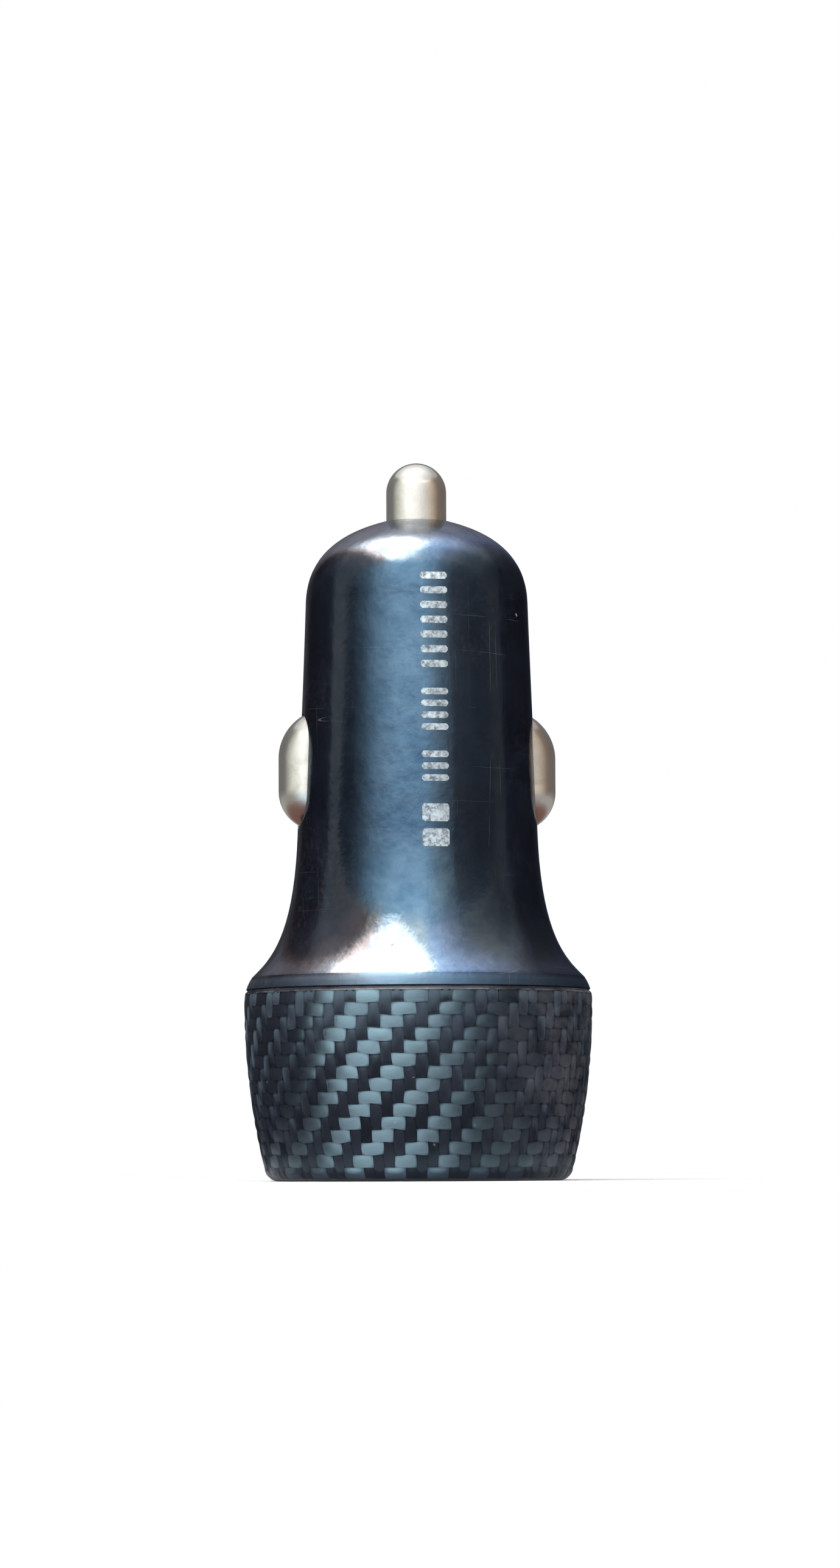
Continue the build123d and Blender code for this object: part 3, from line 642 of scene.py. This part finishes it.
def bezierPoint(ends, t):
    w = ((1 - t) ** 3, 3 * t * (1 - t) ** 2, 3 * t * t * (1 - t), t ** 3)
    return (sum(a * p[0] for a, p in zip(w, ends)), sum(a * p[1] for a, p in zip(w, ends)))


def barrelRadius(z):
    flare, nose = barrelOutline["flare"], barrelOutline["nose"]
    if flare[3][1] <= z <= nose[0][1]:
        share = (z - flare[3][1]) / (nose[0][1] - flare[3][1])
        return flare[3][0] + (nose[0][0] - flare[3][0]) * share
    ends = flare if z < flare[3][1] else nose
    low, high = 0.0, 1.0
    for _ in range(barrelOutline["halvings"]):
        middle = (low + high) / 2
        low, high = (middle, high) if bezierPoint(ends, middle)[1] < z else (low, middle)
    return bezierPoint(ends, low)[0]


def makeSilverInk():
    s = printLook
    finish, tree, shader = newFinish("silverInk", IOR=1.5)
    marks = effect(tree, handMarks, s["marks"])
    flakes = spread(tree, noiseAt(tree, objectPlace(tree), s["flakeScale"], 5.0, 0.7), *s["flakes"])
    ink = mixTint(tree, flakes, s["worn"], s["ink"])
    ink = mixTint(tree, times(tree, marks["Haze"], s["wornShare"]), ink, s["worn"])
    feed(tree, shader, Base_Color=ink, Roughness=between(tree, flakes, *s["roughness"]))
    feed(tree, shader, Metallic=between(tree, flakes, *s["metallic"]))
    return finish


def makePrint():
    s = printLook
    points, faces = [], []
    centre = math.radians(cameraSetup["azimuth"] + s["azimuth"])
    z = s["start"]
    strokes = []
    for count, pitch, tall in s["runs"]:
        for _ in range(count):
            strokes.append((z, tall))
            z += pitch
        z += s["runGap"]
    columns, rows = s["columns"], s["rows"]
    for foot, tall in strokes:
        first = len(points)
        for row in range(rows + 1):
            for column in range(columns + 1):
                across = s["width"] * (column / columns - 0.5)
                edge = s["width"] / 2 - abs(across)
                inset = max(0.0, s["corner"] - edge)
                trim = s["corner"] - math.sqrt(max(0.0, s["corner"] ** 2 - inset ** 2))
                up = min(max(foot + tall * row / rows, foot + trim), foot + tall - trim)
                radius = barrelRadius(up) + s["proud"]
                a = centre + across / radius
                points.append((radius * math.sin(a), -radius * math.cos(a), up))
        for row in range(rows):
            for column in range(columns):
                n = first + row * (columns + 1) + column
                faces.append((n, n + 1, n + columns + 2, n + columns + 1))
    bars = newPiece("printBars", points, faces, [makeSilverInk()])
    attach(bars, "charger")


makePrint()
print("print bars built")

# Springs; the coil is wound from round wire, in mm
springLook = {
    "wire": 0.25,
    "closedRise": 0.55,
    "openTurns": 3,
    "steps": 28,
    "sides": 10,
    "tipTravel": 2.5,
    "shoeTravel": 1.6,
}


def makeCoil(finish):
    s = springLook
    low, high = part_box("tip_spring")
    wire, sides = s["wire"], s["sides"]
    reach = high.x / mm - wire
    foot = low.z / mm + wire
    height = (high.z - low.z) / mm - 2 * wire
    openRise = (height - 2 * s["closedRise"]) / s["openTurns"]
    points, faces = [], []
    count = (s["openTurns"] + 2) * s["steps"]
    for n in range(count + 1):
        turn = n / s["steps"]
        rise = s["closedRise"] * min(turn, 1) + openRise * min(max(turn - 1, 0), s["openTurns"])
        rise += s["closedRise"] * max(turn - 1 - s["openTurns"], 0)
        a = 2 * math.pi * turn
        for k in range(sides):
            b = 2 * math.pi * k / sides
            r = reach + wire * math.cos(b)
            points.append((r * math.cos(a), r * math.sin(a), foot + rise + wire * math.sin(b)))
    for n in range(count):
        for k in range(sides):
            m = (k + 1) % sides
            faces.append((n * sides + k, (n + 1) * sides + k, (n + 1) * sides + m, n * sides + m))
    faces.append(tuple(range(sides)))
    faces.append(tuple(count * sides + k for k in reversed(range(sides))))
    coil = newPiece("tipCoil", points, faces, [finish])
    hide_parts("tip_spring")
    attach(coil, "charger")
    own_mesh(coil)


def makeLeaf(side, finish):
    node = "ground_spring_" + side
    leaf = bpy.data.objects.new("leafSpring." + side, nodes[node].data.copy())
    leaf.data.materials.clear()
    leaf.data.materials.append(finish)
    scene.collection.objects.link(leaf)
    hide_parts(node)
    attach(leaf, "charger")
    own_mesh(leaf)


# Metals: colour, tarnish, roughness range, shares of hairlines and of painted gap shade
metalLook = {
    "nickel": ((0.68, 0.67, 0.64), (0.44, 0.40, 0.34), (0.16, 0.32), 0.6, 0.5),
    "tipNickel": ((0.70, 0.69, 0.66), (0.50, 0.46, 0.40), (0.16, 0.30), 0.5, 0.1),
    "springSteel": ((0.42, 0.42, 0.43), (0.20, 0.17, 0.15), (0.22, 0.36), 0.3, 0.5),
    "portSteel": ((0.56, 0.57, 0.58), (0.33, 0.31, 0.28), (0.22, 0.38), 0.5, 0.5),
    "contactGold": ((0.80, 0.56, 0.22), (0.45, 0.28, 0.10), (0.18, 0.32), 0.3, 0.5),
    "copper": ((0.72, 0.30, 0.13), (0.36, 0.13, 0.05), (0.20, 0.38), 0.2, 0.5),
    "canMetal": ((0.60, 0.61, 0.63), (0.36, 0.36, 0.37), (0.26, 0.42), 0.4, 0.5),
}
metalWear = {
    "tarnish": 0.55,
    "edge": 0.5, "edgeTone": 1.25,
    "dust": 0.5, "dustTone": 0.5,
    "gapShadeTone": 0.12,
    "hairlineRough": 0.15,
    "grainScale": 4200.0, "grain": 0.000004,
}


def makeMetal(name):
    s = metalWear
    tint, tarnish, roughness, hairlines, gapShadeShare = metalLook[name]
    finish, tree, shader = newFinish(name, Metallic=1.0)
    marks = effect(tree, handMarks, {"Haze Scale": 340.0, "Dust": 0.12, "Hairlines": hairlines})
    edge = effect(tree, edgeWearAndHighlight, {"Reach": 0.00012, "Breaks": 700.0})["Edge"]
    grain = effect(tree, mouldGrain, {"Scale": s["grainScale"]})
    paintedShade = effect(tree, gapShade, {"Reach": 0.0008, "Breaks": 900.0})["Grime"]
    bright = tuple(min(1.0, s["edgeTone"] * c) for c in tint)
    base = mixTint(tree, times(tree, marks["Haze"], s["tarnish"]), tint, tarnish)
    base = mixTint(tree, times(tree, edge, s["edge"]), base, bright)
    base = mixTint(tree, times(tree, marks["Dust"], s["dust"]), base, tuple(s["dustTone"] * c for c in tint))
    # painted shade: the metal is darkened where another piece closes in, from ambient occlusion
    base = mixTint(tree, times(tree, paintedShade, gapShadeShare), base, tuple(s["gapShadeTone"] * c for c in tarnish))
    rough = between(tree, marks["Haze"], *roughness)
    rough = maths(tree, "ADD", rough, times(tree, marks["Hairline"], s["hairlineRough"]))
    feed(tree, shader, Base_Color=base, Roughness=rough)
    feed(tree, shader, Normal=bumpFrom(tree, grain["Height"], s["grain"]))
    return finish


# Plastics and other parts: colour, second colour, roughness range, grain scale, grain depth in mm
plasticLook = {
    "panelBlack": ((0.012, 0.012, 0.014), (0.024, 0.024, 0.027), (0.42, 0.6), 3600.0, 0.012),
    "insertBlack": ((0.010, 0.010, 0.011), (0.020, 0.020, 0.021), (0.36, 0.5), 3000.0, 0.006),
    "ferrite": ((0.030, 0.029, 0.029), (0.055, 0.052, 0.050), (0.5, 0.7), 2600.0, 0.012),
    "chipBlack": ((0.014, 0.014, 0.015), (0.026, 0.026, 0.028), (0.45, 0.62), 4200.0, 0.006),
    "chipTan": ((0.34, 0.24, 0.15), (0.45, 0.34, 0.24), (0.4, 0.55), 3000.0, 0.004),
    "lampWhite": ((0.72, 0.72, 0.68), (0.62, 0.60, 0.50), (0.25, 0.4), 2000.0, 0.003),
}
plasticWear = {
    "edge": 0.4, "edgeTone": (0.5, 0.06),  # share of the second colour and what is added
    "dust": (0.24, 0.23, 0.22), "dustShare": 0.5,
}


def makePlastic(name):
    s = plasticWear
    tint, second, roughness, scale, depth = plasticLook[name]
    finish, tree, shader = newFinish(name, IOR=1.5)
    marks = effect(tree, handMarks, {"Haze Scale": 260.0, "Dust": 0.2, "Hairlines": 0.3})
    grain = effect(tree, mouldGrain, {"Scale": scale})
    edge = effect(tree, edgeWearAndHighlight, {"Reach": 0.00015, "Breaks": 600.0})["Edge"]
    pale = tuple(s["edgeTone"][0] * c + s["edgeTone"][1] for c in second)
    base = mixTint(tree, grain["Tone"], tint, second)
    base = mixTint(tree, times(tree, edge, s["edge"]), base, pale)
    base = mixTint(tree, times(tree, marks["Dust"], s["dustShare"]), base, s["dust"])
    feed(tree, shader, Base_Color=base, Roughness=between(tree, marks["Haze"], *roughness))
    feed(tree, shader, Normal=bumpFrom(tree, grain["Height"], depth * mm))
    return finish


# Board with its weave showing through the mask
boardLook = {
    "mask": (0.010, 0.085, 0.030), "pale": (0.025, 0.15, 0.055),
    "clothScale": 420.0, "clothDepth": 0.000006,
    "dust": (0.3, 0.3, 0.28), "dustShare": 0.4,
    "roughness": (0.3, 0.45),
}


def makeBoardGreen():
    s = boardLook
    finish, tree, shader = newFinish("boardGreen", IOR=1.5, Coat_Weight=0.5, Coat_Roughness=0.1)
    marks = effect(tree, handMarks, {"Haze Scale": 200.0, "Dust": 0.15, "Hairlines": 0.2})
    threads = {"Vector": objectPlace(tree), "Scale": s["clothScale"], "Distortion": 0.4}
    waves = [put(tree, "ShaderNodeTexWave", threads, bands_direction=axis) for axis in ("X", "Z")]
    cloth = times(tree, waves[0].outputs["Fac"], waves[1].outputs["Fac"])
    base = mixTint(tree, cloth, s["mask"], s["pale"])
    base = mixTint(tree, times(tree, marks["Dust"], s["dustShare"]), base, s["dust"])
    feed(tree, shader, Base_Color=base, Roughness=between(tree, marks["Haze"], *s["roughness"]))
    feed(tree, shader, Normal=bumpFrom(tree, cloth, s["clothDepth"]))
    return finish


# Clear light pipe
pipeLook = {
    "clear": (0.86, 0.90, 0.92), "hazy": (0.70, 0.75, 0.78),
    "roughness": (0.12, 0.3), "hairlineRough": 0.2,
}


def makePipeClear():
    s = pipeLook
    finish, tree, shader = newFinish("pipeClear", IOR=1.49, Transmission_Weight=1.0)
    marks = effect(tree, handMarks, {"Haze Scale": 500.0, "Dust": 0.2, "Hairlines": 0.6})
    base = mixTint(tree, marks["Haze"], s["clear"], s["hazy"])
    rough = between(tree, marks["Haze"], *s["roughness"])
    rough = maths(tree, "ADD", rough, times(tree, marks["Hairline"], s["hairlineRough"]))
    feed(tree, shader, Base_Color=base, Roughness=rough)
    return finish


# Which finish each CAD piece wears
wornFinish = {
    "barrel_housing": "glossBlack", "port_panel": "panelBlack", "light_pipe": "pipeClear",
    "tip_pin": "tipNickel", "ground_shoe_left": "nickel", "ground_shoe_right": "nickel",
    "spring_cup": "springSteel", "circuit_board": "boardGreen",
    "usb_shell_front": "portSteel", "usb_shell_rear": "portSteel",
    "usb_insert_front": "insertBlack", "usb_insert_rear": "insertBlack",
    "usb_contacts_front": "contactGold", "usb_contacts_rear": "contactGold",
    "inductor_core": "ferrite", "inductor_winding": "copper",
    "input_capacitor": "canMetal", "output_capacitor": "canMetal",
    "regulator_chip": "chipBlack", "rectifier_diode": "chipBlack",
    "chip_passives": "chipTan", "status_led": "lampWhite",
}


def dressNodes():
    finishes = {name: makeMetal(name) for name in metalLook}
    finishes.update({name: makePlastic(name) for name in plasticLook})
    finishes["glossBlack"] = makeGlossBlack()
    finishes["boardGreen"] = makeBoardGreen()
    finishes["pipeClear"] = makePipeClear()
    for node, name in wornFinish.items():
        for slot in nodes[node].material_slots:
            slot.material = finishes[name]
    makeCoil(finishes["springSteel"])
    makeLeaf("left", finishes["springSteel"])
    makeLeaf("right", finishes["springSteel"])


dressNodes()
print("CAD pieces dressed")

# Studio: pale floor, white air, soft lamps for the surfaces and cards for the reflections, in mm
studioLook = {
    "floorTone": (0.85, 0.87), "floorHalf": 3000.0,
    "floorGlow": (45.0, 130.0),  # the floor's shadow fades to white between these
    "fill": 0.42,
    "centre": 30.0,  # height that the lamps and the sky stand around
    "flag": (0.010, 0.012, 0.020),
    "flagRadius": 400.0, "flagFoot": -5.0, "flagTop": 420.0, "flagRoof": 419.0,
    "cloth": (0.035, 0.036, 0.042), "clothHole": 18.0, "clothHeight": 0.2,
    "clothLit": (40.0, 170.0), "clothAhead": (0.0, 0.35),
    "softbox": {"azimuth": -35.0, "elevation": 62.0, "distance": 640.0, "size": 620.0, "power": 5.4},
    "frontFill": {"azimuth": 30.0, "elevation": 24.0, "distance": 700.0, "size": 520.0, "power": 1.7},
}

# Sky card: a vault over the plug from the front to behind; stops and glare as shares of its length and width
skyLook = {
    "radius": 380.0,
    "fromRise": -6.0, "toRise": 176.0,
    "rows": 46, "columns": 40, "widest": 0.995,
    "rise": (
        (0.06, (1.02, 1.48, 1.98)), (0.10, (2.4, 3.3, 3.9)), (0.19, (3.2, 4.5, 5.2)),
        (0.23, (4.2, 5.0, 5.2)), (0.27, (7.8, 7.2, 6.4)), (0.58, (7.0, 7.0, 7.0)), (0.64, (4.5, 4.4, 4.5)),
        (0.69, (2.0, 1.9, 2.0)), (0.75, (0.75, 0.72, 0.80)), (0.86, (0.28, 0.27, 0.32)),
        (0.96, (0.06, 0.06, 0.07)),
    ),
    "lowAcross": (
        (0.01, 0.01), (0.05, 0.025), (0.10, 0.14), (0.20, 0.56), (0.32, 0.9), (0.42, 1.0), (0.55, 0.95),
        (0.68, (0.48, 0.42, 0.38)), (0.80, (0.10, 0.07, 0.06)), (0.93, (0.03, 0.022, 0.02)),
    ),
    "highAcross": (
        (0.03, 0.05), (0.12, (0.10, 0.08, 0.08)), (0.18, (0.16, 0.11, 0.09)), (0.22, (0.5, 0.35, 0.28)),
        (0.27, 0.9), (0.52, 1.0), (0.58, (0.66, 0.78, 1.0)), (0.64, (0.40, 0.47, 0.62)),
        (0.70, (0.26, 0.28, 0.36)), (0.80, 0.14), (0.90, 0.07), (0.97, 0.02),
    ),
    "lowToHigh": (0.18, 0.27),
    "glare": ((0.17, (8.0, 5.0, 4.0)), (0.24, (14.0, 9.0, 7.0)), (0.31, (20.0, 18.0, 16.5))),
    "glareRise": 0.465, "glareAcross": 0.372, "glareLean": 0.12,
    "glareTall": 0.215, "glareWide": 0.162,
    "glareEdge": (1.15, 0.9),
}

# Rooms reflected only by some pieces: tints around from behind by the left, overhead, and below
roomLook = {
    "metalRoom": {
        "radius": 240.0, "top": 270.0, "floor": 0.8, "hole": 30.0,
        "pieces": ("tip_pin", "ground_shoe_left", "ground_shoe_right"),
        "around": (
            (0.0, 0.2), (0.22, 0.22), (0.30, (0.82, 0.84, 0.75)), (0.36, (1.3, 1.33, 1.27)),
            (0.43, (1.9, 1.95, 1.9)), (0.49, (1.5, 1.5, 1.45)), (0.57, 1.0), (0.625, (0.86, 0.79, 0.70)),
            (0.68, (0.66, 0.54, 0.44)), (0.75, (0.26, 0.20, 0.16)), (0.84, (0.20, 0.17, 0.16)), (1.0, 0.2),
        ),
        "over": ((0.2, 1.0), (0.5, 1.9)),
        "overAcross": ((0.0, 0.55), (0.3, 1.0), (0.6, 0.9), (0.75, 0.6), (1.0, 0.3)),
        "under": (0.22, 0.105, 0.075), "underFar": (0.42, 0.40, 0.38),
    },
    "weaveRoom": {
        "radius": 255.0, "top": 285.0, "floor": 0.05, "hole": 11.0,
        "pieces": ("twillSleeve",),
        "around": (
            (0.26, 0.03), (0.29, 0.6), (0.33, 6.0), (0.37, 11.0), (0.43, 10.5), (0.50, 7.5), (0.56, 3.5),
            (0.60, 1.0), (0.65, 0.08),
        ),
        "over": ((0.3, 0.4), (0.6, 4.0)),
        "overAcross": ((0.2, 0.1), (0.35, 1.0), (0.55, 0.9), (0.75, 0.1)),
        "under": (0.12, 0.13, 0.14), "underFar": (0.12, 0.13, 0.14),
    },
}

# What the rooms share: the foot that takes the floor's tint, the brighter top, and the floor's change in mm
roomShape = {"foot": (0.0, 0.16), "brighter": (0.4, 1.0, 1.0, 1.3), "underReach": (60.0, 100.0), "steps": 72}


def inStudio(toward, right, up):
    # a place given towards the camera, to its right and up
    return fromCamera(0) * toward + fromCamera(90) * right + Vector((0, 0, up))


def stageMesh(name, points, faces, finish, onlyReflected=True, uvs=None):
    card = newPiece(name, points, faces, [finish], smooth=False)
    if uvs:
        layer = card.data.uv_layers.new(name="card")
        layer.data.foreach_set("uv", [c for face in faces for n in face for c in uvs[n]])
    if onlyReflected:
        card.visible_camera = False
        card.visible_diffuse = False
        card.visible_shadow = False
        card.visible_transmission = False
    return card


def curvedCard(name, fromAz, toAz, low, high, radius, finish):
    steps = roomShape["steps"]
    points, uvs, faces = [], [], []
    for n in range(steps + 1):
        share = n / steps
        way = fromCamera(fromAz + (toAz - fromAz) * share) * radius
        for level in (0, 1):
            points.append((way.x, way.y, low + (high - low) * level))
            uvs.append((share, level))
    for n in range(steps):
        faces.append((2 * n, 2 * n + 2, 2 * n + 3, 2 * n + 1))
    return stageMesh(name, points, faces, finish, uvs=uvs)


def roofCard(name, radius, z, finish):
    # a square overhead, first coordinate towards the camera and second to its right
    signs = ((-1, -1), (1, -1), (1, 1), (-1, 1))
    points = [inStudio(radius * a, radius * b, z) for a, b in signs]
    return stageMesh(name, points, [(0, 1, 2, 3)], finish, uvs=[(0, 0), (1, 0), (1, 1), (0, 1)])


def ringCard(name, inner, outer, z, finish, steps=48):
    points = []
    for radius in (inner, outer):
        for n in range(steps):
            a = 2 * math.pi * n / steps
            points.append((radius * math.cos(a), radius * math.sin(a), z))
    faces = [(n, (n + 1) % steps, steps + (n + 1) % steps, steps + n) for n in range(steps)]
    return stageMesh(name, points, faces, finish)


def linkTo(card, pieces, state="INCLUDE"):
    # the card lights only these pieces, or all but these
    group = bpy.data.collections.new(card.name + "Receivers")
    for piece in pieces:
        group.objects.link(nodes[piece] if piece in nodes else bpy.data.objects[piece])
    for entry in group.collection_objects:
        entry.light_linking.link_state = state
    card.light_linking.receiver_collection = group


def glowFinish(name, tint=(1, 1, 1), seenThrough=False):
    # where it is seen through, pieces that the card doesn't light see past it
    finish = bpy.data.materials.new(name)
    finish.use_nodes = True
    tree = finish.node_tree
    tree.nodes.clear()
    glow = put(tree, "ShaderNodeEmission", {"Color": (*tint, 1), "Strength": 1.0})
    surface = glow
    if seenThrough:
        clear = put(tree, "ShaderNodeBsdfTransparent")
        surface = put(tree, "ShaderNodeAddShader", {0: glow.outputs[0], 1: clear.outputs[0]})
    put(tree, "ShaderNodeOutputMaterial", {"Surface": surface.outputs[0]})
    return finish, tree, glow


def cardPlace(tree):
    return axesOf(tree, put(tree, "ShaderNodeUVMap", uv_map="card").outputs[0])


def rampOver(tree, share, stops):
    ramp = put(tree, "ShaderNodeValToRGB", {0: share})
    band = ramp.color_ramp
    band.elements.remove(band.elements[1])
    for n, (place, tint) in enumerate(stops):
        element = band.elements.new(place) if n else band.elements[0]
        element.position = place
        element.color = (*tint, 1) if isinstance(tint, tuple) else (tint, tint, tint, 1)
    return ramp.outputs[0]


def makeLamp(name):
    s = studioLook[name]
    lamp = bpy.data.lights.new(name, "AREA")
    lamp.size = s["size"] * mm
    lamp.energy = s["power"]
    holder = bpy.data.objects.new(name, lamp)
    scene.collection.objects.link(holder)
    way = fromCamera(s["azimuth"], s["elevation"])
    holder.location = (way * s["distance"] + Vector((0, 0, studioLook["centre"]))) * mm
    holder.rotation_mode = "QUATERNION"
    holder.rotation_quaternion = way.to_track_quat("Z", "Y")
    holder.visible_glossy = False


def backdropSeen(tree):
    # 1 where the backdrop is looked at, directly or in metal or glass
    rays = put(tree, "ShaderNodeLightPath").outputs
    seen = maths(tree, "MAXIMUM", rays["Is Camera Ray"], rays["Is Glossy Ray"])
    return maths(tree, "MAXIMUM", seen, rays["Is Transmission Ray"])


def makeFloor():
    s = studioLook
    finish, tree, shader = newFinish("paleFloor", Roughness=0.9, Specular_IOR_Level=0.1)
    where = objectPlace(tree)
    tone = spread(tree, noiseAt(tree, where, 8.0), 0.3, 0.7, *s["floorTone"])
    feed(tree, shader, Base_Color=put(tree, "ShaderNodeCombineColor", {0: tone, 1: tone, 2: tone}).outputs[0])
    far = spread(tree, lengthOf(tree, where), *[c * mm for c in s["floorGlow"]])
    glow = put(tree, "ShaderNodeEmission", {"Color": (1, 1, 1, 1), "Strength": 1.0})
    values = {0: times(tree, backdropSeen(tree), far), 1: shader.outputs[0], 2: glow.outputs[0]}
    mix = put(tree, "ShaderNodeMixShader", values)
    tree.links.new(mix.outputs[0], tree.nodes["Material Output"].inputs["Surface"])
    half = s["floorHalf"]
    corners = [(-half, -half, 0), (half, -half, 0), (half, half, 0), (-half, half, 0)]
    stageMesh("paleFloor", corners, [(0, 1, 2, 3)], finish, onlyReflected=False)


def makeAir():
    world = bpy.data.worlds.new("studioAir")
    scene.world = world
    world.use_nodes = True
    tree = world.node_tree
    air = tree.nodes["Background"]
    air.inputs["Color"].default_value = (1, 1, 1, 1)
    tree.links.new(between(tree, backdropSeen(tree), studioLook["fill"], 1.0), air.inputs["Strength"])


def makeFloorCloth():
    # dark under the plug, and further out it carries the sky's low light on
    s = studioLook
    finish, tree, glow = glowFinish("floorCloth")
    where = objectPlace(tree)
    way = put(tree, "ShaderNodeVectorMath", {0: where}, operation="NORMALIZE").outputs[0]
    aside, ahead = [dotOf(tree, way, fromCamera(turn)) for turn in (90, 0)]
    strip = rampOver(tree, spread(tree, aside, -1.0, 1.0), skyLook["lowAcross"])
    light = mixTint(tree, 1.0, skyLook["rise"][0][1], strip, "MULTIPLY")
    lit = spread(tree, lengthOf(tree, where), *[c * mm for c in s["clothLit"]])
    lit = times(tree, lit, spread(tree, ahead, *s["clothAhead"]))
    tree.links.new(mixTint(tree, lit, s["cloth"], light), glow.inputs["Color"])
    return finish


def makeFlags():
    # dark cloth all round, so that only the cards show in the gloss
    s = studioLook
    flag = glowFinish("flagCloth", s["flag"])[0]
    curvedCard("flagRing", 0, 360, s["flagFoot"], s["flagTop"], s["flagRadius"], flag)
    roofCard("flagRoof", s["flagRadius"], s["flagRoof"], flag)
    floor = ringCard("flagFloor", s["clothHole"], s["flagRadius"], s["clothHeight"], makeFloorCloth())
    linkTo(floor, roomLook["weaveRoom"]["pieces"], "EXCLUDE")


def skyFinish():
    s = skyLook
    finish, tree, glow = glowFinish("skyGlow")
    across, rise, _ = cardPlace(tree)
    low = rampOver(tree, across, s["lowAcross"])
    high = rampOver(tree, across, s["highAcross"])
    mask = mixTint(tree, spread(tree, rise, *s["lowToHigh"]), low, high)
    base = mixTint(tree, 1.0, rampOver(tree, rise, s["rise"]), mask, "MULTIPLY")
    lift = maths(tree, "SUBTRACT", rise, s["glareRise"])
    slide = maths(tree, "SUBTRACT", across, times(tree, lift, s["glareLean"]))
    tall = maths(tree, "DIVIDE", lift, s["glareTall"])
    wide = maths(tree, "DIVIDE", maths(tree, "SUBTRACT", slide, s["glareAcross"]), s["glareWide"])
    apart = lengthOf(tree, put(tree, "ShaderNodeCombineXYZ", {0: tall, 1: wide}).outputs[0])
    core = spread(tree, apart, *s["glareEdge"])
    tree.links.new(mixTint(tree, core, base, rampOver(tree, across, s["glare"])), glow.inputs["Color"])
    return finish


def makeSky():
    s = skyLook
    rows, columns = s["rows"], s["columns"]
    points, uvs, faces = [], [], []
    for n in range(rows + 1):
        rise = math.radians(s["fromRise"] + (s["toRise"] - s["fromRise"]) * n / rows)
        for m in range(columns + 1):
            side = max(-s["widest"], min(s["widest"], -1 + 2 * m / columns))
            w = math.sqrt(1 - side * side)
            p = inStudio(math.cos(rise) * w, side, math.sin(rise) * w) * s["radius"]
            points.append((p.x, p.y, p.z + studioLook["centre"]))
            uvs.append((m / columns, n / rows))
    for n in range(rows):
        for m in range(columns):
            k = n * (columns + 1) + m
            faces.append((k, k + 1, k + columns + 2, k + columns + 1))
    card = stageMesh("skyCard", points, faces, skyFinish(), uvs=uvs)
    linkTo(card, [piece for room in roomLook.values() for piece in room["pieces"]], "EXCLUDE")


def makeRoom(name):
    s, shape = roomLook[name], roomShape
    radius, top = s["radius"], s["top"]
    finish, tree, glow = glowFinish(name + "Wall", seenThrough=True)
    around, up, _ = cardPlace(tree)
    wall = mixTint(tree, spread(tree, up, *shape["foot"]), s["underFar"], rampOver(tree, around, s["around"]))
    tree.links.new(wall, glow.inputs["Color"])
    tree.links.new(spread(tree, up, *shape["brighter"]), glow.inputs["Strength"])
    linkTo(curvedCard(name + "Wall", -180, 180, s["floor"], top, radius, finish), s["pieces"])
    finish, tree, glow = glowFinish(name + "Roof", seenThrough=True)
    toward, right, _ = cardPlace(tree)
    tree.links.new(rampOver(tree, toward, s["over"]), glow.inputs["Color"])
    tree.links.new(rampOver(tree, right, s["overAcross"]), glow.inputs["Strength"])
    linkTo(roofCard(name + "Roof", radius, top, finish), s["pieces"])
    finish, tree, glow = glowFinish(name + "Floor", seenThrough=True)
    far = spread(tree, lengthOf(tree, objectPlace(tree)), *[c * mm for c in shape["underReach"]])
    tree.links.new(mixTint(tree, far, s["under"], s["underFar"]), glow.inputs["Color"])
    linkTo(ringCard(name + "Floor", s["hole"], radius, s["floor"], finish), s["pieces"])


makeFloor()
makeAir()
makeLamp("softbox")
makeLamp("frontFill")
makeFlags()
makeSky()
for roomName in roomLook:
    makeRoom(roomName)
scene.view_settings.view_transform = "Standard"
print("studio lit")
